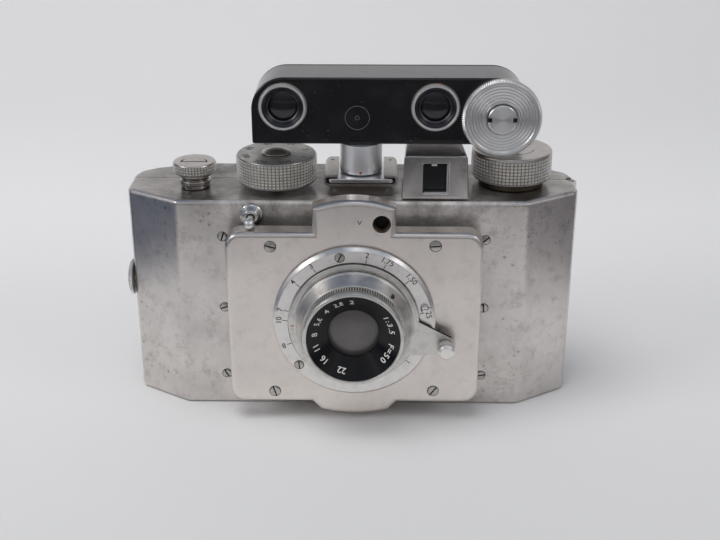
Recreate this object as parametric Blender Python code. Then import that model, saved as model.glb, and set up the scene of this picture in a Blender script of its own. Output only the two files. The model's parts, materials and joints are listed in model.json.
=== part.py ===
"""Viewfinder camera for roll film, with a coupled accessory rangefinder in its shoe.

Metres, +Z up. The lens looks along -Y, and +X is on the right of somebody who faces the lens.
The origin is the middle of the body's base. Sizes below are millimetres; depths are measured
back from the flat front of the body.
"""
import math

import bmesh
import bpy
from mathutils import Matrix, Vector

MM = 0.001
GAP = 0.3                 # left between fixed pieces that would touch
RUNNING_GAP = 0.4         # left round moving pieces
ROUND, MEDIUM, SMALL = 40, 28, 16     # sides of large, middling and small turned pieces

# Body
BODY_HEIGHT = 66.4
BODY_DEPTH = 35.0
BODY_HALF = 66.7
FRONT_HALF = 50.6
CHAMFER_HALF, CHAMFER_DEPTH = 65.8, 9.6
SIDE_DEPTH = 12.0
SEAM_DEPTH = 20.3
WALL = 1.6
ROOF = 1.8
BACK_CORNERS = [(BODY_HALF, 23.0), (65.4, 26.9), (61.0, 30.2), (56.2, 31.9), (41.8, BODY_DEPTH)]

# Lens standard
AXIS_X, AXIS_Z = 0.9, 33.4
BOARD_FRONT, BOARD_BACK = -10.2, -4.4
BOARD_SHEET = 1.6
BOARD_HALF = 36.7
BOARD_LOW, BOARD_HIGH = 6.2, 60.6
TAB_HALF, TAB_SHOULDER, TAB_TOP = 11.8, 68.0, 70.2
STANDARD_TRAVEL = 8.0
SLEEVE_OUTER, SLEEVE_INNER = 16.6, 14.6
BUSH_X, BUSH_Z = 8.7, 63.4

# Lens, round the axis of the standard
LENS_AXIS = (AXIS_X, AXIS_Z)
RING_RADIUS, RING_FRONT, RING_STEP = 23.55, -12.2, -11.6
FLANGE_RADIUS, FLANGE_FRONT = 18.8, -13.3
LEVER_PIN_REACH, LEVER_PIN_ANGLE = 27.3, math.radians(-13.5)
STOP_REACH, STOP_ANGLE = 20.9, math.radians(14.0)
TUBE_INNER, TUBE_CELL, TUBE_NECK = 10.5, 7.0, 12.9

# Scissor struts: arm length between pins, and how far apart the pin planes are when folded
ARM_LENGTH = 30.0
ARM_HALF_WIDTH = 1.5
ARM_SPREAD = 3.0
ARM_ANGLE = math.asin(ARM_SPREAD / ARM_LENGTH)
BODY_PIVOT_DEPTH = 2.2
BOARD_PIVOT_DEPTH = BODY_PIVOT_DEPTH - ARM_SPREAD
PIVOT_LOW = 18.4
PIVOT_HIGH = PIVOT_LOW + ARM_LENGTH * math.cos(ARM_ANGLE)
SLOT_DROP = PIVOT_HIGH - PIVOT_LOW - math.sqrt(ARM_LENGTH ** 2 - (ARM_SPREAD + STANDARD_TRAVEL) ** 2)
PIN = 0.7
PIN_HOLE = PIN + RUNNING_GAP

# Film path
GATE_HALF_X, GATE_HALF_Z = 15.0, 20.0
FILM_DEPTH = 30.9
SPOOL_FLANGE, SPOOL_CORE, SPOOL_HALF = 10.0, 3.4, 24.5
SUPPLY_X, SUPPLY_DEPTH = -46.5, 12.5
TAKE_UP_X, TAKE_UP_DEPTH = 47.3, 17.8
DRUM_X, DRUM_DEPTH, DRUM_RADIUS = -22.3, 13.2, 4.2
ROLLER_X = 2 * AXIS_X - DRUM_X
NUMBER_WINDOWS = {"left": AXIS_X - 15.5, "right": AXIS_X + 15.5}

# Back hinge
HINGE_X, HINGE_RADIUS, HINGE_PIN, HINGE_NOTCH = 66.0, 1.5, 0.55, 1.8

# Top controls
DIAL_RADIUS, DIAL_LOW, DIAL_HIGH = 11.84, 68.6, 76.7
WIND_RADIUS, WIND_LOW, WIND_HIGH = 11.9, 68.6, 77.0
KNOB_SHAFT, WIND_SHAFT = 2.0, 1.5
SUPPLY_NECK, SUPPLY_HEAD, SUPPLY_HEAD_LOW, SUPPLY_HEAD_HIGH = 3.8, 6.4, 71.0, 74.4

# Viewfinder: depth, half width at the foot, half width at the top, and height of each section
FINDER_X = 24.0
FINDER_SECTIONS = [(0.8, 9.8, 9.0, 79.8), (15.0, 8.7, 8.3, 79.7), (33.0, 6.4, 6.1, 78.6)]
FINDER_WINDOW_HALF, FINDER_WINDOW_LOW, FINDER_WINDOW_HIGH = 3.5, 68.7, 77.5

# Release, latch and tripod bush
RELEASE_X, RELEASE_Z = -28.8, 62.5
LATCH_DEPTH, LATCH_Z, LATCH_RADIUS = 14.0, 36.3, 5.5
TRIPOD_X, TRIPOD_DEPTH = 24.0, 11.0

# Accessory shoe and rangefinder
SHOE_X, SHOE_HALF, SHOE_FRONT, SHOE_BACK = 2.6, 10.7, 4.6, 22.0
SHOE_FLOOR, SHOE_TOP, LIP, LIP_REACH = 69.95, 72.75, 0.6, 4.0
FOOT_HALF, FOOT_LOW, FOOT_HIGH = 9.5, 70.25, 71.5
POST_RADIUS, POST_DEPTH = 6.15, 13.0
RF_LEFT, RF_RIGHT, RF_LOW, RF_HIGH = -28.8, 50.5, 80.85, 100.35
RF_FRONT, RF_BACK, RF_CORNER, RF_WALL = 8.5, 24.8, 9.6, 1.5
RF_WINDOWS = {"left": -19.65, "right": 23.8}
RF_WINDOW_Z = 92.15
MIRROR_DEPTH, MIRROR_LOW, MIRROR_HIGH = 16.2, 87.4, 96.6
WHEEL_X, WHEEL_Z, WHEEL_RADIUS = 42.7, 89.2, 11.46


def back(depth):
    """Y of a point this far behind the front of the body."""
    return depth - BODY_DEPTH / 2


# ---------------------------------------------------------------- outlines

def inset(points, distance):
    """A counter-clockwise outline with each edge moved inwards by the distance."""
    lines = []
    for (ax, ay), (bx, by) in zip(points, points[1:] + points[:1]):
        edge = Vector((bx - ax, by - ay)).normalized()
        inward = Vector((-edge.y, edge.x))
        lines.append((Vector((ax, ay)) + inward * distance, edge))
    moved = []
    for (p, d), (q, e) in zip(lines[-1:] + lines[:-1], lines):
        along = (q - p).cross(e) / d.cross(e)
        moved.append(tuple(p + d * along))
    return moved


def rounded(corners, steps=5):
    """An outline from corners (x, y, radius), with an arc at each corner that has a radius."""
    outline = []
    for before, corner, after in zip(corners[-1:] + corners[:-1], corners, corners[1:] + corners[:1]):
        centre, radius = Vector(corner[:2]), corner[2]
        if not radius:
            outline.append(tuple(centre))
            continue
        inwards = (Vector(before[:2]) - centre).normalized()
        onwards = (Vector(after[:2]) - centre).normalized()
        half = inwards.angle(onwards) / 2
        middle = centre + (inwards + onwards).normalized() * (radius / math.sin(half))
        first = centre + inwards * (radius / math.tan(half)) - middle
        last = centre + onwards * (radius / math.tan(half)) - middle
        turn = first.angle_signed(last)
        for step in range(steps + 1):
            outline.append(tuple(middle + first @ Matrix.Rotation(turn * step / steps, 2)))
    return outline


def arc_through(start, end, bulge, steps=8):
    """Points inside a shallow arc from start to end that stands out by the bulge on its right."""
    start, end = Vector(start), Vector(end)
    chord = end - start
    side = Vector((chord.y, -chord.x)).normalized()
    points = []
    for step in range(1, steps):
        share = step / steps
        points.append(tuple(start + chord * share + side * bulge * (1 - (2 * share - 1) ** 2)))
    return points


def circle(centre, radius, segments, start=0.0, sweep=2 * math.pi):
    """Points round a circle, or along an arc with both ends when the sweep is less than a turn."""
    whole = sweep >= 2 * math.pi
    count = segments if whole else segments + 1
    return [(centre[0] + radius * math.cos(start + sweep * i / segments),
             centre[1] + radius * math.sin(start + sweep * i / segments)) for i in range(count)]


def rectangle(low, high):
    return [(low[0], low[1]), (high[0], low[1]), (high[0], high[1]), (low[0], high[1])]


# ---------------------------------------------------------------- solids, in millimetres

def place(axis, flat, height):
    """A point given by its two places across an axis and its place along it."""
    if axis == "z":
        return Vector((flat[0], flat[1], height))
    if axis == "y":
        return Vector((flat[0], height, flat[1]))
    return Vector((height, flat[0], flat[1]))


def prism(outline, low, high, axis="z"):
    mesh = bmesh.new()
    face = mesh.faces.new([mesh.verts.new(place(axis, point, low)) for point in outline])
    grown = bmesh.ops.extrude_face_region(mesh, geom=[face])["geom"]
    top = [item for item in grown if isinstance(item, bmesh.types.BMVert)]
    bmesh.ops.translate(mesh, verts=top, vec=place(axis, (0, 0), high - low))
    bmesh.ops.recalc_face_normals(mesh, faces=mesh.faces)
    return mesh


def box(low, high):
    return prism(rectangle(low[:2], high[:2]), low[2], high[2])


def turned(profile, centre, axis="z", segments=ROUND):
    """A profile of (radius, place along the axis), spun; closed unless it starts and ends at radius 0."""
    mesh = bmesh.new()
    verts = [mesh.verts.new(place(axis, (centre[0] + radius, centre[1]), height))
             for radius, height in profile]
    solid = profile[0][0] == 0 and profile[-1][0] == 0
    pairs = list(zip(verts, verts[1:])) + ([] if solid else [(verts[-1], verts[0])])
    edges = [mesh.edges.new(pair) for pair in pairs]
    bmesh.ops.spin(mesh, geom=verts + edges, cent=place(axis, centre, 0), axis=place(axis, (0, 0), 1),
                   angle=2 * math.pi, steps=segments, use_merge=True)
    bmesh.ops.remove_doubles(mesh, verts=mesh.verts, dist=1e-4)
    bmesh.ops.recalc_face_normals(mesh, faces=mesh.faces)
    return mesh


def disc(centre, radius, low, high, axis="z", segments=MEDIUM):
    return prism(circle(centre, radius, segments), low, high, axis)


def ring(centre, inner, outer, low, high, axis="z", segments=ROUND):
    return turned([(inner, low), (outer, low), (outer, high), (inner, high)], centre, axis, segments)


def loft(sections):
    """A solid through sections with the same number of corners each."""
    mesh = bmesh.new()
    loops = [[mesh.verts.new(corner) for corner in section] for section in sections]
    mesh.faces.new(loops[0])
    mesh.faces.new(loops[-1])
    for first, second in zip(loops, loops[1:]):
        for i in range(len(first)):
            j = (i + 1) % len(first)
            mesh.faces.new((first[i], first[j], second[j], second[i]))
    bmesh.ops.recalc_face_normals(mesh, faces=mesh.faces)
    return mesh


def pleated_frame(profile, half_x, half_z):
    """A profile of (outward offset, depth) carried round a rectangle about the lens axis."""
    mesh = bmesh.new()
    corners = []
    for side_x, side_z in ((1, 1), (-1, 1), (-1, -1), (1, -1)):
        corners.append([mesh.verts.new((AXIS_X + side_x * (half_x + out), back(depth),
                                        AXIS_Z + side_z * (half_z + out))) for out, depth in profile])
    for i in range(4):
        first, second = corners[i], corners[(i + 1) % 4]
        for j in range(len(profile)):
            k = (j + 1) % len(profile)
            mesh.faces.new((first[j], first[k], second[k], second[j]))
    bmesh.ops.recalc_face_normals(mesh, faces=mesh.faces)
    return mesh


# ---------------------------------------------------------------- objects

def material(name, color, roughness, metallic, alpha=1.0):
    made = bpy.data.materials.new(name)
    made.use_nodes = True
    shader = made.node_tree.nodes["Principled BSDF"]
    shader.inputs["Base Color"].default_value = (*color, 1.0)
    shader.inputs["Roughness"].default_value = roughness
    shader.inputs["Metallic"].default_value = metallic
    shader.inputs["Alpha"].default_value = alpha
    return made


FINISHES = {
    "aluminium": ((0.62, 0.60, 0.58), 0.32, 1.0),
    "nickel": ((0.72, 0.71, 0.69), 0.22, 1.0),
    "steel": ((0.45, 0.44, 0.43), 0.35, 1.0),
    "brass": ((0.60, 0.45, 0.22), 0.35, 1.0),
    "black_lacquer": ((0.012, 0.012, 0.014), 0.25, 0.0),
    "blackened": ((0.03, 0.03, 0.032), 0.6, 0.3),
    "cloth": ((0.02, 0.02, 0.02), 0.9, 0.0),
    "glass": ((0.80, 0.84, 0.86), 0.05, 0.0, 0.35),
    "mirror": ((0.85, 0.86, 0.88), 0.03, 1.0),
    "red_glass": ((0.45, 0.03, 0.02), 0.1, 0.0, 0.5),
}


def add(name, solid, finish, origin=(0.0, 0.0, 0.0)):
    """One named piece; its origin is put on the axis that it moves about."""
    moved = Vector(origin)
    bmesh.ops.translate(solid, verts=solid.verts, vec=-moved)
    bmesh.ops.scale(solid, verts=solid.verts, vec=(MM, MM, MM))
    mesh = bpy.data.meshes.new(name)
    solid.to_mesh(mesh)
    solid.free()
    mesh.shade_smooth()
    mesh.set_sharp_from_angle(angle=math.radians(35))
    mesh.materials.append(material(name, *FINISHES[finish]))
    piece = bpy.data.objects.new(name, mesh)
    piece.location = moved * MM
    bpy.context.scene.collection.objects.link(piece)
    return piece


def combine(piece, solid, operation):
    """Cut a solid out of a piece, or join one onto it, with a Boolean modifier."""
    count = len(piece.modifiers)
    mesh = bpy.data.meshes.new(f"{piece.name}_tool_{count}")
    bmesh.ops.scale(solid, verts=solid.verts, vec=(MM, MM, MM))
    solid.to_mesh(mesh)
    solid.free()
    tool = bpy.data.objects.new(mesh.name, mesh)
    tool.hide_render = True
    tool.display_type = "WIRE"
    bpy.context.scene.collection.objects.link(tool)
    modifier = piece.modifiers.new(mesh.name, "BOOLEAN")
    modifier.operation = operation
    modifier.solver = "EXACT"
    modifier.object = tool


def cut(piece, *solids):
    for solid in solids:
        combine(piece, solid, "DIFFERENCE")


def join(piece, *solids):
    for solid in solids:
        combine(piece, solid, "UNION")


# ---------------------------------------------------------------- body

def body_plan():
    """Plan of the closed body, counter-clockwise, with y already in the camera's frame."""
    right = [(FRONT_HALF, 0.0), (CHAMFER_HALF, CHAMFER_DEPTH), (BODY_HALF, SIDE_DEPTH)] + BACK_CORNERS
    left = [(-x, depth) for x, depth in reversed(right)]
    return [(x, back(depth)) for x, depth in right + left]


def half_plan(front):
    """The part of the plan in front of the seam, or behind it."""
    edge = back(SEAM_DEPTH) + (-GAP / 2 if front else GAP / 2)
    plan = [(x, y) for x, y in body_plan() if (y < edge) == front]
    if front:
        turn = next(i for i in range(len(plan)) if plan[i][0] > 0 and plan[i - 1][0] < 0)
        plan = plan[turn:] + plan[:turn]
        return plan[:3] + [(BODY_HALF, edge), (-BODY_HALF, edge)] + plan[3:]
    return plan + [(-BODY_HALF, edge), (BODY_HALF, edge)]


def hinge_knuckle(side, low, high):
    """Part of the hinge barrel with the tab that holds it; side -1 is the body's, +1 the cover's."""
    centre = (HINGE_X, back(SEAM_DEPTH))
    start = -math.pi / 6 if side < 0 else math.pi / 6
    sweep = math.pi * 7 / 6 * (1 if side < 0 else -1)
    arc = [(centre[0] + HINGE_RADIUS * math.cos(start + sweep * i / 12),
            centre[1] + HINGE_RADIUS * math.sin(start + sweep * i / 12)) for i in range(13)]
    tab = [(centre[0] - HINGE_RADIUS, centre[1] + side * 2.8), (centre[0] + 0.4, centre[1] + side * 2.8)]
    return prism(arc + tab, low, high)


def hinge_axis_disc(radius):
    return disc((HINGE_X, back(SEAM_DEPTH)), radius, -1.0, BODY_HEIGHT + 1.0, segments=20)


def body_cavity():
    return prism(inset(body_plan(), WALL), ROOF, BODY_HEIGHT - ROOF)


def body_shell():
    shell = add("body_shell", prism(half_plan(front=True), 0.0, BODY_HEIGHT), "aluminium")
    cut(shell, body_cavity(), hinge_axis_disc(HINGE_NOTCH))
    join(shell, hinge_knuckle(-1, 0.5, 16.0), hinge_knuckle(-1, 50.0, 65.9))
    cut(shell, hinge_axis_disc(HINGE_PIN + GAP))
    cut(shell, box((AXIS_X - 34.0, back(-1.0), 7.5), (AXIS_X + 34.0, back(WALL + 1.0), 58.4)))
    shaft_holes = [(DRUM_X, DRUM_DEPTH, KNOB_SHAFT), (SUPPLY_X, SUPPLY_DEPTH, SUPPLY_NECK + RUNNING_GAP),
                   (TAKE_UP_X, TAKE_UP_DEPTH, WIND_SHAFT + RUNNING_GAP)]
    for x, depth, radius in shaft_holes:
        cut(shell, disc((x, back(depth)), radius, BODY_HEIGHT - 3.0, BODY_HEIGHT + 1.0, segments=20))
    cut(shell, disc((TRIPOD_X, back(TRIPOD_DEPTH)), 6.0 + GAP, -1.0, 3.0))
    cut(shell, disc((RELEASE_X, RELEASE_Z), 1.3, back(-1.0), back(3.0), "y", SMALL))
    cut(shell, disc((back(LATCH_DEPTH), LATCH_Z), 1.9, -BODY_HALF - 1.0, -BODY_HALF + 3.0, "x", SMALL))


def back_cover():
    origin = (HINGE_X, back(SEAM_DEPTH), 0.0)
    cover = add("back_cover", prism(half_plan(front=False), 0.0, BODY_HEIGHT), "aluminium", origin)
    cut(cover, body_cavity(), hinge_axis_disc(HINGE_NOTCH))
    join(cover, hinge_knuckle(1, 16.3, 49.7))
    cut(cover, hinge_axis_disc(HINGE_PIN + GAP))
    for x in NUMBER_WINDOWS.values():
        cut(cover, disc((x, AXIS_Z), 4.3, back(BODY_DEPTH - 3.0), back(BODY_DEPTH + 1.0), "y", 20))


def cover_fittings():
    """What the back cover carries: pressure plate on its leaf spring, and the two number windows."""
    for side, x in NUMBER_WINDOWS.items():
        profile = [(0.0, back(34.6)), (4.0, back(34.6)), (4.0, back(33.1)), (5.2, back(33.1)),
                   (5.2, back(32.5)), (0.0, back(32.5))]
        add(f"number_window_{side}", turned(profile, (x, AXIS_Z), "y", 20), "red_glass")
    plate = add("pressure_plate", box((AXIS_X - 24.0, back(31.3), AXIS_Z - 23.0),
                                      (AXIS_X + 24.0, back(31.9), AXIS_Z + 23.0)), "blackened",
                (AXIS_X, back(31.6), AXIS_Z))
    for x in NUMBER_WINDOWS.values():
        cut(plate, disc((x, AXIS_Z), 2.5, back(30.0), back(33.0), "y", SMALL))
    bow = [(AXIS_X - 9.0, back(32.5)), (AXIS_X - 5.0, back(32.5)), (AXIS_X - 3.0, back(32.9)),
           (AXIS_X + 3.0, back(32.9)), (AXIS_X + 5.0, back(32.5)), (AXIS_X + 9.0, back(32.5))]
    strip = [(x, y + 0.2) for x, y in reversed(bow)]
    add("pressure_spring", prism(bow + strip, AXIS_Z - 17.0, AXIS_Z - 9.0), "steel")


def hinge_pin():
    add("back_hinge_pin", disc((HINGE_X, back(SEAM_DEPTH)), HINGE_PIN, 0.3, BODY_HEIGHT - 0.3, segments=12),
        "steel", (HINGE_X, back(SEAM_DEPTH), 0.0))


def back_latch():
    """Turning latch: a disc outside on the left, a shaft, and a finger inside."""
    centre = (back(LATCH_DEPTH), LATCH_Z)
    outer = -BODY_HALF - GAP
    profile = [(0.0, outer - 1.4), (LATCH_RADIUS - 0.7, outer - 1.4), (LATCH_RADIUS, outer - 0.8),
               (LATCH_RADIUS, outer), (1.5, outer), (1.5, -63.8), (0.0, -63.8)]
    latch = add("back_latch", turned(profile, centre, "x", 24), "nickel", (-BODY_HALF, *centre))
    join(latch, box((-64.2, centre[0] - 2.0, LATCH_Z - 1.6), (-63.2, back(23.6), LATCH_Z + 1.6)))


def tripod_bush():
    """Threaded bush in the base, flush with it, with a flange inside."""
    centre = (TRIPOD_X, back(TRIPOD_DEPTH))
    profile = [(0.0, 0.0), (6.0, 0.0), (6.0, ROOF + GAP), (7.4, ROOF + GAP), (7.4, 3.2), (4.6, 3.2),
               (4.6, 4.6), (0.0, 4.6)]
    bush = add("tripod_bush", turned(profile, centre, "z", 24), "brass")
    cut(bush, disc(centre, 3.0, -1.0, 3.9, segments=20))


def film_chassis():
    """Inner casting: front flange, light tunnel and film gate."""
    tunnel_x, tunnel_z, skin = 17.0, 22.0, 1.2

    def upright(half_x, half_z, front, rear):
        """A block about the lens axis between two depths."""
        return box((AXIS_X - half_x, back(front), AXIS_Z - half_z),
                   (AXIS_X + half_x, back(rear), AXIS_Z + half_z))

    chassis = add("film_chassis", box((AXIS_X - 30.0, back(5.0), 5.2),
                                      (AXIS_X + 30.0, back(6.0), BODY_HEIGHT - ROOF - GAP)), "blackened")
    join(chassis, upright(tunnel_x + skin, tunnel_z + skin, 5.5, 26.8))
    for side in (-1, 1):
        middle = AXIS_Z + side * (tunnel_z + 1.6)
        join(chassis, box((AXIS_X - 12.0, back(20.0), middle - 1.3), (AXIS_X + 12.0, back(30.0), middle + 1.3)))
    join(chassis, upright(33.0, 25.2, 29.6, FILM_DEPTH))
    cut(chassis, upright(tunnel_x, tunnel_z, 4.0, 28.2), upright(GATE_HALF_X, GATE_HALF_Z, 28.0, 32.0))


def shutter():
    """Focal-plane blind with its drum under the speed dial and its roller on the other side."""
    sheet, height = 0.3, 21.2
    left = DRUM_X - DRUM_RADIUS - GAP - sheet
    right = ROLLER_X + DRUM_RADIUS + GAP + sheet
    outer = [(left, back(DRUM_DEPTH)), (left, back(28.4)), (right, back(28.4)), (right, back(DRUM_DEPTH))]
    inner = [(right - sheet, back(DRUM_DEPTH)), (right - sheet, back(28.4 - sheet)),
             (left + sheet, back(28.4 - sheet)), (left + sheet, back(DRUM_DEPTH))]
    add("shutter_blind", prism(outer + inner, AXIS_Z - height, AXIS_Z + height), "cloth")
    profile = [(0.0, 9.0), (DRUM_RADIUS, 9.0), (DRUM_RADIUS, 57.6), (1.6, 57.6), (1.6, 75.4), (0.0, 75.4)]
    centre = (DRUM_X, back(DRUM_DEPTH))
    add("shutter_drum", turned(profile, centre, "z", 24), "steel", (*centre, 0.0))
    roller = (ROLLER_X, back(DRUM_DEPTH))
    add("blind_roller", disc(roller, DRUM_RADIUS, 9.0, 57.6, segments=24), "steel", (*roller, 0.0))


def film_spool(name, x, depth, socket):
    """Film spool; the socket in its top takes the winding key."""
    low, high = AXIS_Z - SPOOL_HALF, AXIS_Z + SPOOL_HALF
    profile = [(0.0, low), (SPOOL_FLANGE, low), (SPOOL_FLANGE, low + 1.0), (SPOOL_CORE, low + 1.0),
               (SPOOL_CORE, high - 1.0), (SPOOL_FLANGE, high - 1.0), (SPOOL_FLANGE, high), (socket, high),
               (socket, high - 6.5), (0.0, high - 6.5)]
    centre = (x, back(depth))
    add(name, turned(profile, centre, "z", 32), "blackened", (*centre, 0.0))


# ---------------------------------------------------------------- lens standard

def board_outline():
    """Front view of the lens board with its top and bottom tabs, as (x, z)."""
    left, right = AXIS_X - BOARD_HALF, AXIS_X + BOARD_HALF
    chin_half, chin_side, chin_sag = 9.9, 3.4, 1.2
    corners = [(left, BOARD_LOW, 4.5), (AXIS_X - 12.7, BOARD_LOW, 0), (AXIS_X - chin_half, chin_side, 0)]
    corners += [(*point, 0) for point in arc_through((AXIS_X - chin_half, chin_side),
                                                     (AXIS_X + chin_half, chin_side), chin_sag)]
    corners += [(AXIS_X + chin_half, chin_side, 0), (AXIS_X + 12.7, BOARD_LOW, 0),
                (right, BOARD_LOW, 4.5), (right, BOARD_HIGH, 4.5),
                (AXIS_X + TAB_HALF, BOARD_HIGH, 0), (AXIS_X + TAB_HALF, TAB_SHOULDER, 0)]
    corners += [(*point, 0) for point in arc_through((AXIS_X + TAB_HALF, TAB_SHOULDER),
                                                     (AXIS_X - TAB_HALF, TAB_SHOULDER),
                                                     TAB_TOP - TAB_SHOULDER)]
    corners += [(AXIS_X - TAB_HALF, TAB_SHOULDER, 0), (AXIS_X - TAB_HALF, BOARD_HIGH, 0),
                (left, BOARD_HIGH, 4.5)]
    return rounded(corners)


def lens_board():
    board = add("lens_board", prism(board_outline(), back(BOARD_FRONT), back(BOARD_BACK), "y"), "aluminium")
    front, inside, rear = back(BOARD_FRONT - 1.0), back(BOARD_FRONT + BOARD_SHEET), back(BOARD_BACK + 1.0)
    half = BOARD_HALF - WALL
    low, high = BOARD_LOW + WALL, BOARD_HIGH - WALL
    pan = rounded([(AXIS_X + side * half, z, 3.0) for side, z in ((-1, low), (1, low), (1, high), (-1, high))])
    tab = rectangle((AXIS_X - TAB_HALF + WALL, high - 2.0), (AXIS_X + TAB_HALF - WALL, TAB_SHOULDER - WALL))
    cut(board, prism(pan, inside, rear, "y"), prism(tab, inside, rear, "y"))
    cut(board, disc(LENS_AXIS, SLEEVE_OUTER + RUNNING_GAP, front, rear, "y", ROUND))
    cut(board, disc((BUSH_X, BUSH_Z), 2.6, front, rear, "y", 20))
    bush = ring((BUSH_X, BUSH_Z), 1.5, 2.3, back(BOARD_FRONT), back(BOARD_FRONT + 4.0), "y", 20)
    add("tab_bush", bush, "brass")


def slot_outline(depth, low, high):
    """Upright slot for a strut pin, as (y, z)."""
    upper = circle((back(depth), high), PIN_HOLE, 8, 0.0, math.pi)
    lower = circle((back(depth), low), PIN_HOLE, 8, math.pi, math.pi)
    return upper + lower


def ear_cuts(piece, x_low, x_high, depth):
    """Pivot hole below and sliding slot above, through one ear."""
    hole = circle((back(depth), PIVOT_LOW), PIN_HOLE, SMALL)
    slot = slot_outline(depth, PIVOT_HIGH - SLOT_DROP - 0.2, PIVOT_HIGH + 0.2)
    cut(piece, prism(hole, x_low - 0.5, x_high + 0.5, "x"), prism(slot, x_low - 0.5, x_high + 0.5, "x"))


def strut_frame():
    """Flange behind the body's front wall, with an ear on each side for the struts."""
    frame = add("strut_frame", box((AXIS_X - 41.0, back(2.1), 5.2), (AXIS_X + 41.0, back(3.1), 60.3)), "steel")
    cut(frame, box((AXIS_X - 32.0, back(1.0), 8.0), (AXIS_X + 32.0, back(4.0), 58.6)))
    for side in (-1, 1):
        x_low, x_high = sorted((AXIS_X + side * 31.9, AXIS_X + side * 33.0))
        join(frame, box((x_low, back(0.2), 15.0), (x_high, back(4.2), 51.5)))
        ear_cuts(frame, x_low, x_high, BODY_PIVOT_DEPTH)


def board_frame():
    """Plate inside the lens board, with an ear on each side for the struts."""
    plate = box((AXIS_X - 33.5, back(-8.3), 9.5), (AXIS_X + 33.5, back(-7.3), 57.3))
    frame = add("board_frame", plate, "steel")
    cut(frame, disc(LENS_AXIS, SLEEVE_OUTER + 0.6, back(-9.0), back(-6.0), "y", ROUND))
    for side in (-1, 1):
        x_low, x_high = sorted((AXIS_X + side * 27.8, AXIS_X + side * 28.8))
        join(frame, box((x_low, back(-7.8), 15.0), (x_high, back(1.2), 51.5)))
        ear_cuts(frame, x_low, x_high, BOARD_PIVOT_DEPTH)


def strut(name, side, plane, depth, lean, pins):
    """One strut arm in a plane parallel to YZ, pivoted at its foot.

    The plane and the pins are (nearest, furthest) distances from the lens axis; lean is -1
    for an arm whose top leans forwards and +1 for one whose top leans back.
    """
    def span(near, far):
        return sorted((AXIS_X + side * near, AXIS_X + side * far))

    foot = Vector((back(depth), PIVOT_LOW))
    along = Vector((lean * math.sin(ARM_ANGLE), math.cos(ARM_ANGLE)))
    heading = math.atan2(along.y, along.x)
    outline = (circle(foot, ARM_HALF_WIDTH, 8, heading + math.pi / 2, math.pi)
               + circle(foot + along * ARM_LENGTH, ARM_HALF_WIDTH, 8, heading - math.pi / 2, math.pi))
    low, high = span(*plane)
    arm = add(name, prism(outline, low, high, "x"), "steel", (AXIS_X + side * plane[0], *foot))
    for share, (near, far) in pins:
        place_on_arm = foot + along * ARM_LENGTH * share
        low, high = span(near, far)
        join(arm, disc(place_on_arm, PIN, low, high, "x", 12))
    return arm, foot + along * ARM_LENGTH / 2


def struts():
    for side, word in ((-1, "left"), (1, "right")):
        strut(f"strut_a_{word}", side, (30.7, 31.7), BODY_PIVOT_DEPTH, -1,
              [(0.0, (31.2, 33.1)), (0.5, (29.2, 31.2)), (1.0, (27.7, 31.2))])
        arm, middle = strut(f"strut_b_{word}", side, (29.4, 30.4), BOARD_PIVOT_DEPTH, 1,
                            [(0.0, (27.7, 29.9)), (1.0, (29.9, 33.1))])
        low, high = sorted((AXIS_X + side * 29.0, AXIS_X + side * 30.8))
        cut(arm, disc(middle, PIN_HOLE, low, high, "x", 12))


def bellows():
    """Pleated light-tight sleeve between the two strut frames."""
    pleats, front, rear, deep, skin = 4, -7.0, 4.6, 3.6, 1.0
    step = (rear - front) / (2 * pleats)
    outer = [(deep if i % 2 else 0.0, front + i * step) for i in range(2 * pleats + 1)]
    inner = [(out - skin * 1.5, depth) for out, depth in reversed(outer)]
    add("bellows", pleated_frame(outer + inner, 21.6, 21.0), "cloth")


def off_axis(reach, angle):
    """A place this far from the lens axis, at an angle from +X seen from the front."""
    return (AXIS_X + reach * math.cos(angle), AXIS_Z + reach * math.sin(angle))


def scale_ring():
    profile = [(FLANGE_RADIUS + GAP, back(RING_FRONT)), (RING_RADIUS - 1.0, back(RING_FRONT)),
               (RING_RADIUS, back(RING_FRONT + 0.9)), (RING_RADIUS, back(BOARD_FRONT - GAP)),
               (SLEEVE_OUTER + RUNNING_GAP, back(BOARD_FRONT - GAP)),
               (SLEEVE_OUTER + RUNNING_GAP, back(RING_STEP)), (FLANGE_RADIUS + GAP, back(RING_STEP))]
    add("scale_ring", turned(profile, LENS_AXIS, "y", 48), "aluminium")
    pin = [(0.0, back(-14.0)), (0.9, back(-13.8)), (1.4, back(-13.2)), (1.4, back(-12.5)), (0.0, back(-12.5))]
    add("focus_stop_pin", turned(pin, off_axis(STOP_REACH, STOP_ANGLE), "y", 14), "steel")


def lever_outline():
    """Tapered lever that grows out of the flange and ends round the finger pin."""
    root_half, root_reach, nose_radius = math.radians(19.5), 18.0, 2.9
    root = [off_axis(root_reach, LEVER_PIN_ANGLE + turn) for turn in (root_half, -root_half)]
    tip = off_axis(LEVER_PIN_REACH, LEVER_PIN_ANGLE)
    return root + circle(tip, nose_radius, 10, LEVER_PIN_ANGLE - math.radians(70), math.radians(140))


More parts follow.
